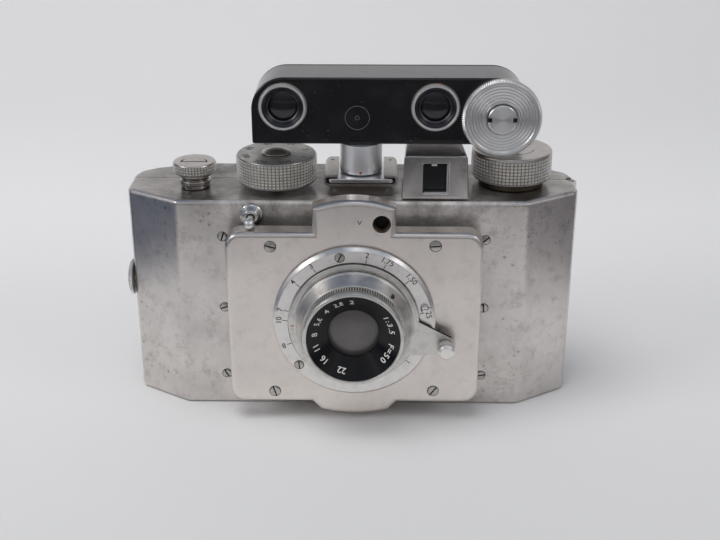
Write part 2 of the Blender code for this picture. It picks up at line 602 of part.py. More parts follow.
def focus_lever():
    origin = (AXIS_X, back(FLANGE_FRONT), AXIS_Z)
    profile = [(SLEEVE_INNER, back(FLANGE_FRONT)), (FLANGE_RADIUS, back(FLANGE_FRONT)),
               (FLANGE_RADIUS, back(-12.0)), (SLEEVE_OUTER, back(-12.0)), (SLEEVE_OUTER, back(-6.5)),
               (SLEEVE_INNER, back(-6.5))]
    lever = add("focus_lever", turned(profile, LENS_AXIS, "y", 48), "aluminium", origin)
    join(lever, prism(lever_outline(), back(FLANGE_FRONT + 0.02), back(-12.5), "y"))
    knob = [(0.0, back(-18.2)), (2.1, back(-18.2)), (2.5, back(-17.8)), (2.5, back(FLANGE_FRONT - GAP)),
            (0.0, back(FLANGE_FRONT - GAP))]
    add("focus_pin", turned(knob, off_axis(LEVER_PIN_REACH, LEVER_PIN_ANGLE), "y", 20), "aluminium", origin)


def lens_group():
    """The sliding lens tube with everything that it carries."""
    profile = [(TUBE_CELL, back(0.5)), (14.2, back(0.5)), (14.2, back(-13.8)), (17.2, back(-13.8)),
               (16.9, back(-14.6)), (14.9, back(-18.6)), (TUBE_NECK, back(-18.6)), (TUBE_NECK, back(-20.3)),
               (12.5, back(-20.3)), (TUBE_INNER, back(-19.2)), (TUBE_INNER, back(-9.0)), (TUBE_CELL, back(-9.0))]
    add("lens_tube", turned(profile, LENS_AXIS, "y", 48), "aluminium")
    plate = [(7.3, back(-18.6)), (13.2, back(-22.5)), (13.2, back(-21.2)), (7.3, back(-18.0))]
    add("name_ring", turned(plate, LENS_AXIS, "y", 48), "black_lacquer")
    add("name_ring_rim", ring(LENS_AXIS, 13.4, 14.4, back(-22.8), back(-21.3), "y", 48), "aluminium")
    front = [(0.0, back(-17.9)), (4.0, back(-17.6)), (8.0, back(-16.7)), (10.1, back(-16.3)),
             (10.1, back(-14.5)), (5.0, back(-13.9)), (0.0, back(-13.7))]
    add("front_element", turned(front, LENS_AXIS, "y", MEDIUM), "glass")
    rear = [(0.0, back(-7.0)), (3.5, back(-6.7)), (6.6, back(-5.8)), (6.6, back(-3.4)), (3.5, back(-2.6)),
            (0.0, back(-2.4))]
    add("rear_element", turned(rear, LENS_AXIS, "y", MEDIUM), "glass")
    add("iris_diaphragm", ring(LENS_AXIS, 4.2, 10.1, back(-12.7), back(-12.3), "y", MEDIUM), "blackened")
    add("aperture_ring", ring(LENS_AXIS, TUBE_NECK + RUNNING_GAP, 14.9, back(-21.0), back(-18.9), "y", 48),
        "aluminium", (AXIS_X, back(-20.0), AXIS_Z))


# ---------------------------------------------------------------- top of the body

def viewfinder():
    foot, sections = BODY_HEIGHT + GAP, []
    for depth, foot_half, top_half, top in FINDER_SECTIONS:
        sections.append([(FINDER_X - foot_half, back(depth), foot), (FINDER_X + foot_half, back(depth), foot),
                         (FINDER_X + top_half, back(depth), top), (FINDER_X - top_half, back(depth), top)])
    housing = add("viewfinder_housing", loft(sections), "aluminium")
    low = (FINDER_X - FINDER_WINDOW_HALF, FINDER_WINDOW_LOW)
    high = (FINDER_X + FINDER_WINDOW_HALF, FINDER_WINDOW_HIGH)
    cut(housing, prism(rectangle(low, high), back(-1.0), back(35.0), "y"))
    pane = [(low[0] + GAP, low[1] + GAP), (high[0] - GAP, high[1] - GAP)]
    add("viewfinder_front_lens", prism(rectangle(*pane), back(3.0), back(4.4), "y"), "glass")
    add("viewfinder_eyepiece", prism(rectangle(*pane), back(29.5), back(31.0), "y"), "glass")


def accessory_shoe():
    def across(margin, front, rear, low, high):
        """A block between the sides of the shoe, each moved inwards by the margin."""
        return box((SHOE_X - SHOE_HALF + margin, back(front), low),
                   (SHOE_X + SHOE_HALF - margin, back(rear), high))

    shoe = add("accessory_shoe", across(0.0, SHOE_FRONT, SHOE_BACK, SHOE_FLOOR - 0.9, SHOE_TOP), "nickel")
    join(shoe, across(2.2, SHOE_FRONT + 0.5, SHOE_BACK - 0.5, BODY_HEIGHT + GAP, SHOE_FLOOR - 0.5))
    cut(shoe, across(0.9, SHOE_FRONT - 1.0, SHOE_BACK + 1.0, SHOE_FLOOR, SHOE_TOP - LIP))
    cut(shoe, across(LIP_REACH, SHOE_FRONT - 1.0, SHOE_BACK + 1.0, SHOE_FLOOR + 0.5, SHOE_TOP + 1.0))


def grip_profile(radius, low, high):
    """Outer side and top of a knob, with small chamfers, ending on its axis."""
    return [(radius - 0.5, low), (radius, low + 0.5), (radius, high - 0.6), (radius - 0.9, high), (0.0, high)]


def knobs():
    """Speed dial, winding knob and rewind-side knob, each on its own shaft."""
    dial_centre = (DRUM_X, back(DRUM_DEPTH))
    dial = add("speed_dial", turned([(0.0, DIAL_LOW)] + grip_profile(DIAL_RADIUS, DIAL_LOW, DIAL_HIGH),
                                    dial_centre, "z", ROUND), "aluminium", (*dial_centre, 0.0))
    cut(dial, disc(dial_centre, KNOB_SHAFT, DIAL_LOW - 1.0, DIAL_HIGH - 0.9, segments=SMALL))
    cap = [(0.0, DIAL_HIGH + GAP), (4.3, DIAL_HIGH + GAP), (4.3, DIAL_HIGH + 0.7), (3.0, DIAL_HIGH + 1.25),
           (0.0, DIAL_HIGH + 1.5)]
    add("dial_cap", turned(cap, dial_centre, "z", 24), "nickel", (*dial_centre, 0.0))

    wind_centre = (TAKE_UP_X, back(TAKE_UP_DEPTH))
    key_end = AXIS_Z + SPOOL_HALF - 5.5
    wind = [(0.0, key_end), (WIND_SHAFT, key_end), (WIND_SHAFT, WIND_LOW)]
    wind += grip_profile(WIND_RADIUS, WIND_LOW, WIND_HIGH)
    add("wind_knob", turned(wind, wind_centre, "z", ROUND), "aluminium", (*wind_centre, 0.0))
    collar = ring(wind_centre, WIND_SHAFT + RUNNING_GAP, 9.6, BODY_HEIGHT + GAP, WIND_LOW - GAP, segments=32)
    add("wind_collar", collar, "brass")

    supply_centre = (SUPPLY_X, back(SUPPLY_DEPTH))
    flare = SUPPLY_NECK + 1.1
    supply = [(0.0, 52.0), (1.8, 52.0), (1.8, 64.0), (SUPPLY_NECK, 64.0), (SUPPLY_NECK, 69.3), (flare, 70.3),
              (flare, SUPPLY_HEAD_LOW), (SUPPLY_HEAD, SUPPLY_HEAD_LOW), (SUPPLY_HEAD, SUPPLY_HEAD_HIGH - 0.5),
              (SUPPLY_HEAD - 0.6, SUPPLY_HEAD_HIGH), (0.0, SUPPLY_HEAD_HIGH)]
    knob = add("supply_knob", turned(supply, supply_centre, "z", 32), "aluminium", (*supply_centre, 0.0))
    groove_half, groove_floor = 0.6, SUPPLY_HEAD_HIGH - 0.9
    cut(knob, box((SUPPLY_X - SUPPLY_HEAD - 1.0, supply_centre[1] - groove_half, groove_floor),
                  (SUPPLY_X + SUPPLY_HEAD + 1.0, supply_centre[1] + groove_half, SUPPLY_HEAD_HIGH + 1.0)))
    collar = ring(supply_centre, SUPPLY_NECK + RUNNING_GAP, 4.6, BODY_HEIGHT + GAP, 69.0, segments=32)
    add("supply_collar", collar, "nickel")


def release():
    centre = (RELEASE_X, RELEASE_Z)
    collar = [(1.3, back(-GAP)), (3.4, back(-GAP)), (3.4, back(-1.4)), (2.1, back(-3.2)), (1.3, back(-3.2))]
    add("release_collar", turned(collar, centre, "y", 20), "nickel")
    ball, middle, plunger_end = 1.6, -8.0, 3.7
    button = [(0.0, back(middle - ball))]
    for step in range(1, 7):
        turn = math.radians(24 * step)
        button.append((ball * math.sin(turn), back(middle - ball * math.cos(turn))))
    button += [(0.9, back(middle + ball)), (0.9, back(plunger_end)), (0.0, back(plunger_end))]
    add("release_button", turned(button, centre, "y", SMALL), "nickel", (RELEASE_X, back(0.0), RELEASE_Z))


# ---------------------------------------------------------------- rangefinder

def rangefinder_outline(shrink=0.0):
    low, high = RF_LOW + shrink, RF_HIGH - shrink
    left, right, corner = RF_LEFT + shrink, RF_RIGHT - shrink, RF_CORNER - shrink
    return rounded([(left, low, 0.6), (right, low, 0.6), (right, high, corner), (left, high, corner)], 7)


def rangefinder():
    cover_front = RF_BACK - 1.3
    housing = add("rf_housing", prism(rangefinder_outline(), back(RF_FRONT), back(cover_front - GAP), "y"),
                  "black_lacquer")
    cut(housing, prism(rangefinder_outline(RF_WALL), back(RF_FRONT + RF_WALL), back(RF_BACK), "y"))
    for side, x in RF_WINDOWS.items():
        cut(housing, disc((x, RF_WINDOW_Z), 5.3, back(RF_FRONT - 1.0), back(RF_FRONT + 3.0), "y", 24))
        rim = [(4.55, back(6.6)), (6.4, back(6.4)), (7.0, back(7.0)), (7.0, back(RF_FRONT - GAP)),
               (5.0, back(RF_FRONT - GAP)), (5.0, back(11.0)), (4.55, back(11.0))]
        add(f"rf_ring_{side}", turned(rim, (x, RF_WINDOW_Z), "y", 32), "nickel")
        add(f"rf_glass_{side}", disc((x, RF_WINDOW_Z), 4.25, back(8.6), back(9.8), "y", 24), "glass")
    cut(housing, disc((WHEEL_X, WHEEL_Z), 1.6, back(RF_FRONT - 1.0), back(RF_FRONT + 3.0), "y", SMALL))

    cover = add("rf_cover", prism(rangefinder_outline(), back(cover_front), back(RF_BACK), "y"),
                "black_lacquer")
    eye = (RF_WINDOWS["left"], RF_WINDOW_Z)
    cut(cover, disc(eye, 3.3, back(RF_BACK - 3.0), back(RF_BACK + 1.0), "y", 20))
    eyepiece = [(0.0, back(22.0)), (3.0, back(22.0)), (3.0, back(RF_BACK + GAP)), (4.6, back(RF_BACK + GAP)),
                (4.6, back(RF_BACK + 1.3)), (2.4, back(RF_BACK + 1.3)), (2.0, back(RF_BACK + 0.6)),
                (0.0, back(RF_BACK + 0.6))]
    add("rf_eyepiece", turned(eyepiece, eye, "y", 24), "nickel")

    centre = (WHEEL_X, WHEEL_Z)
    wheel = [(0.0, back(6.0)), (WHEEL_RADIUS - 0.5, back(6.0)), (WHEEL_RADIUS, back(6.4)),
             (WHEEL_RADIUS, back(7.7)), (WHEEL_RADIUS - 0.5, back(RF_FRONT - GAP)), (1.2, back(RF_FRONT - GAP)),
             (1.2, back(12.0)), (2.6, back(12.0)), (2.6, back(14.0)), (0.0, back(14.0))]
    add("rf_wheel", turned(wheel, centre, "y", 48), "aluminium", (WHEEL_X, back(6.0), WHEEL_Z))
    nut = [(0.0, back(4.9)), (3.8, back(4.9)), (4.3, back(5.2)), (4.3, back(5.7)), (0.0, back(5.7))]
    add("rf_wheel_nut", turned(nut, centre, "y", 24), "aluminium", (WHEEL_X, back(6.0), WHEEL_Z))

    post_centre = (SHOE_X, back(POST_DEPTH))
    low, high = FOOT_HIGH + GAP, RF_LOW - GAP
    post = [(0.0, low), (POST_RADIUS - 0.3, low), (POST_RADIUS, low + 0.3), (POST_RADIUS, high), (0.0, high)]
    add("rf_post", turned(post, post_centre, "z", 32), "nickel")
    add("rf_foot", box((SHOE_X - FOOT_HALF, back(SHOE_FRONT + 0.2), FOOT_LOW),
                       (SHOE_X + FOOT_HALF, back(SHOE_BACK - 0.4), FOOT_HIGH)), "nickel")


def mirror_plate(x):
    """Upright plate turned so that a sight line along +Y leaves along -X."""
    half_length, half_thick = 5.2, 0.5
    centre = Vector((x, back(MIRROR_DEPTH)))
    along = Vector((1.0, -1.0)).normalized()
    across = Vector((1.0, 1.0)).normalized()
    corners = [centre + along * a * half_length + across * b * half_thick
               for a, b in ((-1, -1), (1, -1), (1, 1), (-1, 1))]
    return prism([tuple(corner) for corner in corners], MIRROR_LOW, MIRROR_HIGH)


def rangefinder_mirrors():
    """Fixed mirror behind the left window, and behind the right one a mirror on an upright pivot."""
    left, right = RF_WINDOWS["left"], RF_WINDOWS["right"]
    add("rf_fixed_mirror", mirror_plate(left), "mirror")
    swing = add("rf_swing_mirror", mirror_plate(right), "mirror", (right, back(MIRROR_DEPTH), RF_WINDOW_Z))
    inside = RF_WALL + RUNNING_GAP
    join(swing, disc((right, back(MIRROR_DEPTH)), 1.1, RF_LOW + inside, RF_HIGH - inside, segments=SMALL))


def main():
    for old in list(bpy.data.objects):
        bpy.data.objects.remove(old, do_unlink=True)
    body_shell()
    back_cover()
    cover_fittings()
    hinge_pin()
    back_latch()
    tripod_bush()
    film_chassis()
    shutter()
    film_spool("supply_spool", SUPPLY_X, SUPPLY_DEPTH, 2.2)
    film_spool("take_up_spool", TAKE_UP_X, TAKE_UP_DEPTH, 2.0)
    lens_board()
    strut_frame()
    board_frame()
    struts()
    bellows()
    scale_ring()
    focus_lever()
    lens_group()
    viewfinder()
    accessory_shoe()
    knobs()
    release()
    rangefinder()
    rangefinder_mirrors()


main()
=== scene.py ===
"""Looks for a roll-film viewfinder camera with an accessory rangefinder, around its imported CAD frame.

Sizes are millimetres in the CAD model's frame and become metres when a mesh is made. Places come
from the boxes of the CAD nodes. The lens looks along -Y, and depths are measured back from the
flat front of the body.
"""
import json
import math

import bmesh
import bpy
from mathutils import Matrix, Vector


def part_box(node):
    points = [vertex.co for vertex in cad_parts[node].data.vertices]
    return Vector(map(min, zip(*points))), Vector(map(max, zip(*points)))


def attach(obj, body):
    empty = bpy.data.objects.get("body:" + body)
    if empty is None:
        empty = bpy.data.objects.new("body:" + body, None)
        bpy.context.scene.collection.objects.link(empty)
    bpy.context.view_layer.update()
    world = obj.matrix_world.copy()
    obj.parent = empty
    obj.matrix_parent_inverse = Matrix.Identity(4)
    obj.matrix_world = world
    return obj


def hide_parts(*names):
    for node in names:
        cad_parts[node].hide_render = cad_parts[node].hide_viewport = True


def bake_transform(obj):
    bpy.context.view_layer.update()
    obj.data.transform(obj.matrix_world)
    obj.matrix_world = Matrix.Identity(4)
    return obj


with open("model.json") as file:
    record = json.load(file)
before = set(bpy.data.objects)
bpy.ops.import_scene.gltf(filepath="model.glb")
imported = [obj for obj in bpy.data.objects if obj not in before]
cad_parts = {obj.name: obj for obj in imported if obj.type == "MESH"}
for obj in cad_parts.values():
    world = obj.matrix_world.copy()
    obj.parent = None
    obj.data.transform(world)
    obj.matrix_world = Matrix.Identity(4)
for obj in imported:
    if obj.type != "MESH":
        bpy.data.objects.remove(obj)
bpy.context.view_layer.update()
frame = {"nodes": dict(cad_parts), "record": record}

MM = 0.001
BODIES = frame["record"]["behaviour"]["bodies"]
BODY_OF = {node: body for body, nodes in BODIES.items() for node in nodes}
SLOT_OF = {part["node"]: part["material_slot"] for part in frame["record"]["subparts"]}


# ---------------------------------------------------------------- places, in millimetres

def box_of(node):
    low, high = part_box(node)
    return low / MM, high / MM


def middle_of(node):
    low, high = box_of(node)
    return (low + high) / 2


def centre_of(node, axis):
    """The two places of a node's middle across an axis."""
    middle = middle_of(node)
    return (middle.x, middle.y) if axis == "z" else (middle.x, middle.z)


def radius_of(node):
    low, high = box_of(node)
    return (high.x - low.x) / 2


BODY_TOP = box_of("body_shell")[1].z
BODY_HALF = box_of("back_cover")[1].x - 0.8         # the hinge stands out by this much
BODY_DEPTH = 35.0
AXIS = (middle_of("scale_ring").x, middle_of("scale_ring").z)


def back(depth):
    """Y of a point this far behind the flat front of the body."""
    return depth - BODY_DEPTH / 2


def polar(centre, radius, degrees):
    turn = math.radians(degrees)
    return centre[0] + radius * math.cos(turn), centre[1] + radius * math.sin(turn)


def on_front(x, z, y, degrees=0.0):
    """Turns something drawn in XY to look along -Y at a place, rolled by an angle seen from there."""
    return (Matrix.Translation((x, y, z)) @ Matrix.Rotation(math.pi / 2, 4, "X")
            @ Matrix.Rotation(math.radians(degrees), 4, "Z"))


def on_top(x, y, z, degrees=0.0):
    return Matrix.Translation((x, y, z)) @ Matrix.Rotation(math.radians(degrees), 4, "Z")


# ---------------------------------------------------------------- outlines

def rounded(corners, steps=8):
    """An outline from corners (x, y, radius), with an arc at each corner that has a radius."""
    outline = []
    for before, corner, after in zip(corners[-1:] + corners[:-1], corners, corners[1:] + corners[:1]):
        centre, radius = Vector(corner[:2]), corner[2]
        if not radius:
            outline.append(tuple(centre))
            continue
        inwards = (Vector(before[:2]) - centre).normalized()
        onwards = (Vector(after[:2]) - centre).normalized()
        half = inwards.angle(onwards) / 2
        middle = centre + (inwards + onwards).normalized() * (radius / math.sin(half))
        first = centre + inwards * (radius / math.tan(half)) - middle
        last = centre + onwards * (radius / math.tan(half)) - middle
        turn = first.angle_signed(last)
        for step in range(steps + 1):
            outline.append(tuple(middle + first @ Matrix.Rotation(turn * step / steps, 2)))
    return outline


def softened(profile, radius=0.15, steps=3):
    """An open profile of (radius, place, depth of teeth) with its inner corners rounded a little."""
    points = [(*point, 0.0)[:3] for point in profile]
    result = [points[0]]
    for before, here, after in zip(points, points[1:], points[2:]):
        corner = Vector(here[:2])
        towards, onwards = Vector(before[:2]) - corner, Vector(after[:2]) - corner
        reach = min(radius, towards.length * 0.4, onwards.length * 0.4)
        start, end = corner + towards.normalized() * reach, corner + onwards.normalized() * reach
        for step in range(steps + 1):
            share = step / steps
            bent = start.lerp(corner, share).lerp(corner.lerp(end, share), share)
            result.append((bent.x, bent.y, here[2]))
    return result + [points[-1]]


def after(start, profile):
    """A profile whose places are counted from a start."""
    return [(point[0], start + point[1], *point[2:]) for point in profile]


def circle(centre, radius, segments, start=0.0, sweep=360.0):
    """Points round a circle, or along an arc with both ends, with angles in degrees."""
    count = segments if sweep >= 360.0 else segments + 1
    return [polar(centre, radius, start + sweep * i / segments) for i in range(count)]


def arc_through(start, end, bulge):
    """Points inside a shallow arc from start to end that stands out by the bulge on its right."""
    steps = 16
    start, end = Vector(start), Vector(end)
    chord = end - start
    side = Vector((chord.y, -chord.x)).normalized()
    shares = [step / steps for step in range(1, steps)]
    return [tuple(start + chord * share + side * bulge * (1 - (2 * share - 1) ** 2)) for share in shares]


def rectangle(low, high):
    return [(low[0], low[1]), (high[0], low[1]), (high[0], high[1]), (low[0], high[1])]


# ---------------------------------------------------------------- solids, in millimetres

def place(axis, flat, height):
    """A point given by its two places across an axis and its place along it."""
    if axis == "z":
        return Vector((flat[0], flat[1], height))
    if axis == "y":
        return Vector((flat[0], height, flat[1]))
    return Vector((height, flat[0], flat[1]))


def prism(outline, low, high, axis="z"):
    mesh = bmesh.new()
    face = mesh.faces.new([mesh.verts.new(place(axis, point, low)) for point in outline])
    grown = bmesh.ops.extrude_face_region(mesh, geom=[face])["geom"]
    top = [item for item in grown if isinstance(item, bmesh.types.BMVert)]
    bmesh.ops.translate(mesh, verts=top, vec=place(axis, (0, 0), high - low))
    bmesh.ops.recalc_face_normals(mesh, faces=mesh.faces)
    return mesh


def inset(outline, distance):
    """A counter-clockwise outline moved inwards by a distance."""
    result = []
    for before, here, after in zip(outline[-1:] + outline[:-1], outline, outline[1:] + outline[:1]):
        before, here, after = Vector(before), Vector(here), Vector(after)
        arriving, leaving = (here - before).normalized(), (after - here).normalized()
        first, second = Vector((-arriving.y, arriving.x)), Vector((-leaving.y, leaving.x))
        result.append(tuple(here + (first + second) * (distance / (1.0 + first.dot(second)))))
    return result


def pillow(outline, low, high, edges, axis="z", steps=6):
    """A prism whose low and high edges are rounded by the two radii."""
    sections = []
    for end, inward, radius in ((low, 1, edges[0]), (high, -1, edges[1])):
        turns = [90.0 * step / steps for step in range(steps + 1)] if radius else [90.0]
        rings = []
        for turn in turns:
            angle = math.radians(turn)
            flat = inset(outline, radius * (1 - math.sin(angle))) if turn < 90.0 else outline
            height = end + inward * radius * (1 - math.cos(angle))
            rings.append([place(axis, point, height) for point in flat])
        sections += rings if inward == 1 else rings[::-1]
    return loft(sections)


def box(low, high):
    return prism(rectangle(low[:2], high[:2]), low[2], high[2])


def disc(centre, radius, low, high, axis="z", segments=64):
    return prism(circle(centre, radius, segments), low, high, axis)


def stitch(mesh, rings, count):
    """Faces between rings of the same number of points; a ring may be one point repeated."""
    for first, second in rings:
        for i in range(count):
            j = (i + 1) % count
            corners = list(dict.fromkeys((first[i], first[j], second[j], second[i])))
            if len(corners) > 2:
                mesh.faces.new(corners)
    bmesh.ops.recalc_face_normals(mesh, faces=mesh.faces)


def turned(profile, centre, axis="z", teeth=0, segments=96):
    """A profile of (radius, place, depth of teeth) carried round an axis, with teeth cut into it."""
    mesh = bmesh.new()
    wave = (0.0, 0.5, 1.0, 0.5)
    count = teeth * len(wave) if teeth else segments
    points = [(*point, 0.0)[:3] for point in profile]
    rings = []
    for radius, height, depth in points:
        if radius == 0:
            rings.append([mesh.verts.new(place(axis, centre, height))] * count)
            continue
        reaches = [radius - depth * wave[i % len(wave)] for i in range(count)]
        rings.append([mesh.verts.new(place(axis, polar(centre, reach, 360 * i / count), height))
                      for i, reach in enumerate(reaches)])
    pairs = list(zip(rings, rings[1:]))
    if points[0][0] or points[-1][0]:
        pairs.append((rings[-1], rings[0]))
    stitch(mesh, pairs, count)
    return mesh


def knurled_band(centre, radius, low, high, columns, rows, depth):
    """Closed band of small pyramids round an upright axis, like a checkered grip."""
    mesh = bmesh.new()
    step, half_turn = (high - low) / rows, 180.0 / columns
    valley, top = radius - depth, 0.42
    grid = [[mesh.verts.new((x, y, low + step * row)) for x, y in circle(centre, valley, columns)]
            for row in range(rows + 1)]
    for row in range(rows):
        for i in range(columns):
            j = (i + 1) % columns
            corners = (grid[row][i], grid[row][j], grid[row + 1][j], grid[row + 1][i])
            middle = 360.0 * i / columns + half_turn
            tips = [mesh.verts.new(place("z", polar(centre, radius, middle + side * half_turn * top),
                                         low + step * (row + 0.5 + level * 0.5 * top)))
                    for side, level in ((-1, -1), (1, -1), (1, 1), (-1, 1))]
            mesh.faces.new(tips)
            for k in range(4):
                m = (k + 1) % 4
                mesh.faces.new((corners[k], corners[m], tips[m], tips[k]))
    hidden = [[mesh.verts.new((x, y, height)) for x, y in circle(centre, valley - 0.4, columns)]
              for height in (low, high)]
    stitch(mesh, [(hidden[0], grid[0]), (grid[-1], hidden[1]), (hidden[1], hidden[0])], columns)
    return mesh


def loft(sections):
    mesh = bmesh.new()
    loops = [[mesh.verts.new(corner) for corner in section] for section in sections]
    mesh.faces.new(loops[0])
    mesh.faces.new(loops[-1])
    stitch(mesh, list(zip(loops, loops[1:])), len(loops[0]))
    return mesh


def pleated_sleeve(profile, half_x, half_z):
    """A profile of (outward offset, y) carried round a rectangle about the lens axis."""
    mesh = bmesh.new()
    corners = [[mesh.verts.new((AXIS[0] + side_x * (half_x + out), y, AXIS[1] + side_z * (half_z + out)))
                for out, y in profile] for side_x, side_z in ((1, 1), (-1, 1), (-1, -1), (1, -1))]
    stitch(mesh, list(zip(corners, corners[1:] + corners[:1])), len(profile))
    return mesh


def moved(mesh, matrix):
    bmesh.ops.transform(mesh, matrix=matrix, verts=mesh.verts)
    return mesh


def together(meshes):
    """Several solids as one mesh."""
    whole = bmesh.new()
    for mesh in meshes:
        data = bpy.data.meshes.new("part_of_a_whole")
        mesh.to_mesh(data)
        mesh.free()
        whole.from_mesh(data)
        bpy.data.meshes.remove(data)
    return whole


# ---------------------------------------------------------------- pieces

def object_from(name, mesh):
    data = bpy.data.meshes.new(name)
    bmesh.ops.scale(mesh, verts=mesh.verts, vec=(MM, MM, MM))
    mesh.to_mesh(data)
    mesh.free()
    piece = bpy.data.objects.new(name, data)
    bpy.context.scene.collection.objects.link(piece)
    return piece


def smooth(piece, degrees=32.0):
    piece.data.shade_smooth()
    piece.data.set_sharp_from_angle(angle=math.radians(degrees))
    return piece


def bake(piece):
    """Put what the modifiers do into the mesh itself."""
    bpy.context.view_layer.update()
    result = bpy.data.meshes.new_from_object(piece.evaluated_get(bpy.context.evaluated_depsgraph_get()))
    piece.modifiers.clear()
    old, piece.data = piece.data, result
    bpy.data.meshes.remove(old)
    result.name = piece.name
    return piece


def combine(piece, tool, operation):
    """Cut another object out of a piece or join it on, and remove that object."""
    modifier = piece.modifiers.new("tool", "BOOLEAN")
    modifier.operation = operation
    modifier.solver = "EXACT"
    modifier.object = tool
    bake(piece)
    bpy.data.objects.remove(tool)
    return piece


def cut(piece, *meshes):
    for mesh in meshes:
        combine(piece, object_from("tool", mesh), "DIFFERENCE")
    return piece


def join(piece, *meshes):
    for mesh in meshes:
        combine(piece, object_from("tool", mesh), "UNION")
    return piece


def soften(piece, width, limit=30.0, segments=3):
    """Round the edges that are sharper than the limit."""
    edge = piece.modifiers.new("soft_edges", "BEVEL")
    edge.width = width * MM
    edge.segments = segments
    edge.limit_method = "ANGLE"
    edge.angle_limit = math.radians(limit)
    return bake(piece)


def finish(piece, material, body, stands_for=(), degrees=32.0, flat=False):
    """Shading, material, the body it rides on, and the CAD nodes it is shown in place of."""
    piece.data.materials.clear()
    piece.data.materials.append(material)
    if not flat:
        smooth(piece, degrees)
        weighted = piece.modifiers.new("flat_faces", "WEIGHTED_NORMAL")
        weighted.keep_sharp = True
    if body:
        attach(piece, body)
    if stands_for:
        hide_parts(*stands_for)
    return piece


def show_as(node, piece, material, **how):
    """Finish a piece that is shown in place of one CAD node, riding where the node rides."""
    return finish(piece, material, BODY_OF[node], (node,), **how)


def piece_for(node, mesh, material, soft=0.0, **how):
    """A new piece, shown in place of one CAD node."""
    piece = object_from(node + "_look", mesh)
    if soft:
        soften(piece, soft)
    return show_as(node, piece, material, **how)


def detail(name, mesh, material, body, **how):
    return finish(object_from(name, mesh), material, body, **how)


def lathe(name, profile, centre, axis, material, soft=0.0, body=None, teeth=0, segments=96, **how):
    """A turned piece, shown in place of the CAD node of its name unless a body is given."""
    mesh = turned(softened(profile, soft) if soft else profile, centre, axis, teeth, segments)
    return detail(name, mesh, material, body, **how) if body else piece_for(name, mesh, material, **how)


def cad_copy(node, soft):
    """A copy of a CAD node's own shape with its faces merged and its edges softened."""
    mesh = bmesh.new()
    mesh.from_mesh(frame["nodes"][node].data)
    bmesh.ops.remove_doubles(mesh, verts=mesh.verts, dist=1e-6)
    bmesh.ops.dissolve_limit(mesh, angle_limit=math.radians(0.5), verts=mesh.verts, edges=mesh.edges)
    bmesh.ops.scale(mesh, verts=mesh.verts, vec=(1 / MM,) * 3)
    return soften(object_from(node + "_look", mesh), soft, 25.0)


# ---------------------------------------------------------------- materials

class Finish:
    """A Principled material with short ways to add noise, colour patches and bumps."""

    def __init__(self, name, color, roughness, metallic=0.0, **sockets):
        self.material = bpy.data.materials.new(name)
        self.material.use_nodes = True
        self.tree = self.material.node_tree
        self.shader = self.tree.nodes["Principled BSDF"]
        self.shader.inputs["Base Color"].default_value = (*color, 1.0)
        self.shader.inputs["Roughness"].default_value = roughness
        self.shader.inputs["Metallic"].default_value = metallic
        for socket, value in sockets.items():
            self.shader.inputs[socket.replace("_", " ")].default_value = value
        self.coords = self.tree.nodes.new("ShaderNodeTexCoord").outputs["Object"]
        self.color = None

    def node(self, kind, **values):
        made = self.tree.nodes.new(kind)
        for key, value in values.items():
            setattr(made, key, value)
        return made

    def link(self, source, target):
        self.tree.links.new(source, target)

    def noise(self, scale, detail=4.0, roughness=0.6):
        made = self.node("ShaderNodeTexNoise")
        for socket, value in (("Scale", scale), ("Detail", detail), ("Roughness", roughness)):
            made.inputs[socket].default_value = value
        self.link(self.coords, made.inputs["Vector"])
        return made.outputs["Fac"]

    def along(self, axis):
        """Place along X, Y or Z, in metres."""
        made = self.node("ShaderNodeSeparateXYZ")
        self.link(self.coords, made.inputs["Vector"])
        return made.outputs[axis]

    def ramp(self, source, low, high, start=0.0, end=1.0):
        made = self.node("ShaderNodeMapRange")
        for socket, value in (("From Min", low), ("From Max", high), ("To Min", start), ("To Max", end)):
            made.inputs[socket].default_value = value
        self.link(source, made.inputs["Value"])
        return made.outputs["Result"]

    def math(self, operation, first, second):
        made = self.node("ShaderNodeMath", operation=operation)
        for socket, value in zip(made.inputs, (first, second)):
            if isinstance(value, float):
                socket.default_value = value
            else:
                self.link(value, socket)
        return made.outputs[0]

    def specks(self, scale, size, patch_scale, low, high):
        """Small round dots, only where a slow noise is high."""
        cells = self.node("ShaderNodeTexVoronoi")
        cells.inputs["Scale"].default_value = scale
        self.link(self.coords, cells.inputs["Vector"])
        dots = self.ramp(cells.outputs["Distance"], size, size * 0.5)
        return self.math("MULTIPLY", dots, self.ramp(self.noise(patch_scale, 2.0), low, high))

    def tint(self, factor, color):
        """Mix a colour over what the base colour is so far."""
        mix = self.node("ShaderNodeMix", data_type="RGBA")
        factor_socket, a, b = mix.inputs[0], mix.inputs[6], mix.inputs[7]
        self.link(factor, factor_socket)
        if self.color is None:
            a.default_value = self.shader.inputs["Base Color"].default_value
        else:
            self.link(self.color, a)
        b.default_value = (*color, 1.0)
        self.color = mix.outputs[2]
        self.link(self.color, self.shader.inputs["Base Color"])

    def rough(self, source, low, high):
        self.link(self.ramp(source, 0.15, 0.85, low, high), self.shader.inputs["Roughness"])

    def bump(self, source, height, strength=1.0):
        """Relief of a height in millimetres, added to what is there."""
        made = self.node("ShaderNodeBump")
        made.inputs["Strength"].default_value = strength
        made.inputs["Distance"].default_value = height * MM
        self.link(source, made.inputs["Height"])
        normal = self.shader.inputs["Normal"]
        if normal.is_linked:
            self.link(normal.links[0].from_socket, made.inputs["Normal"])
        self.link(made.outputs["Normal"], normal)


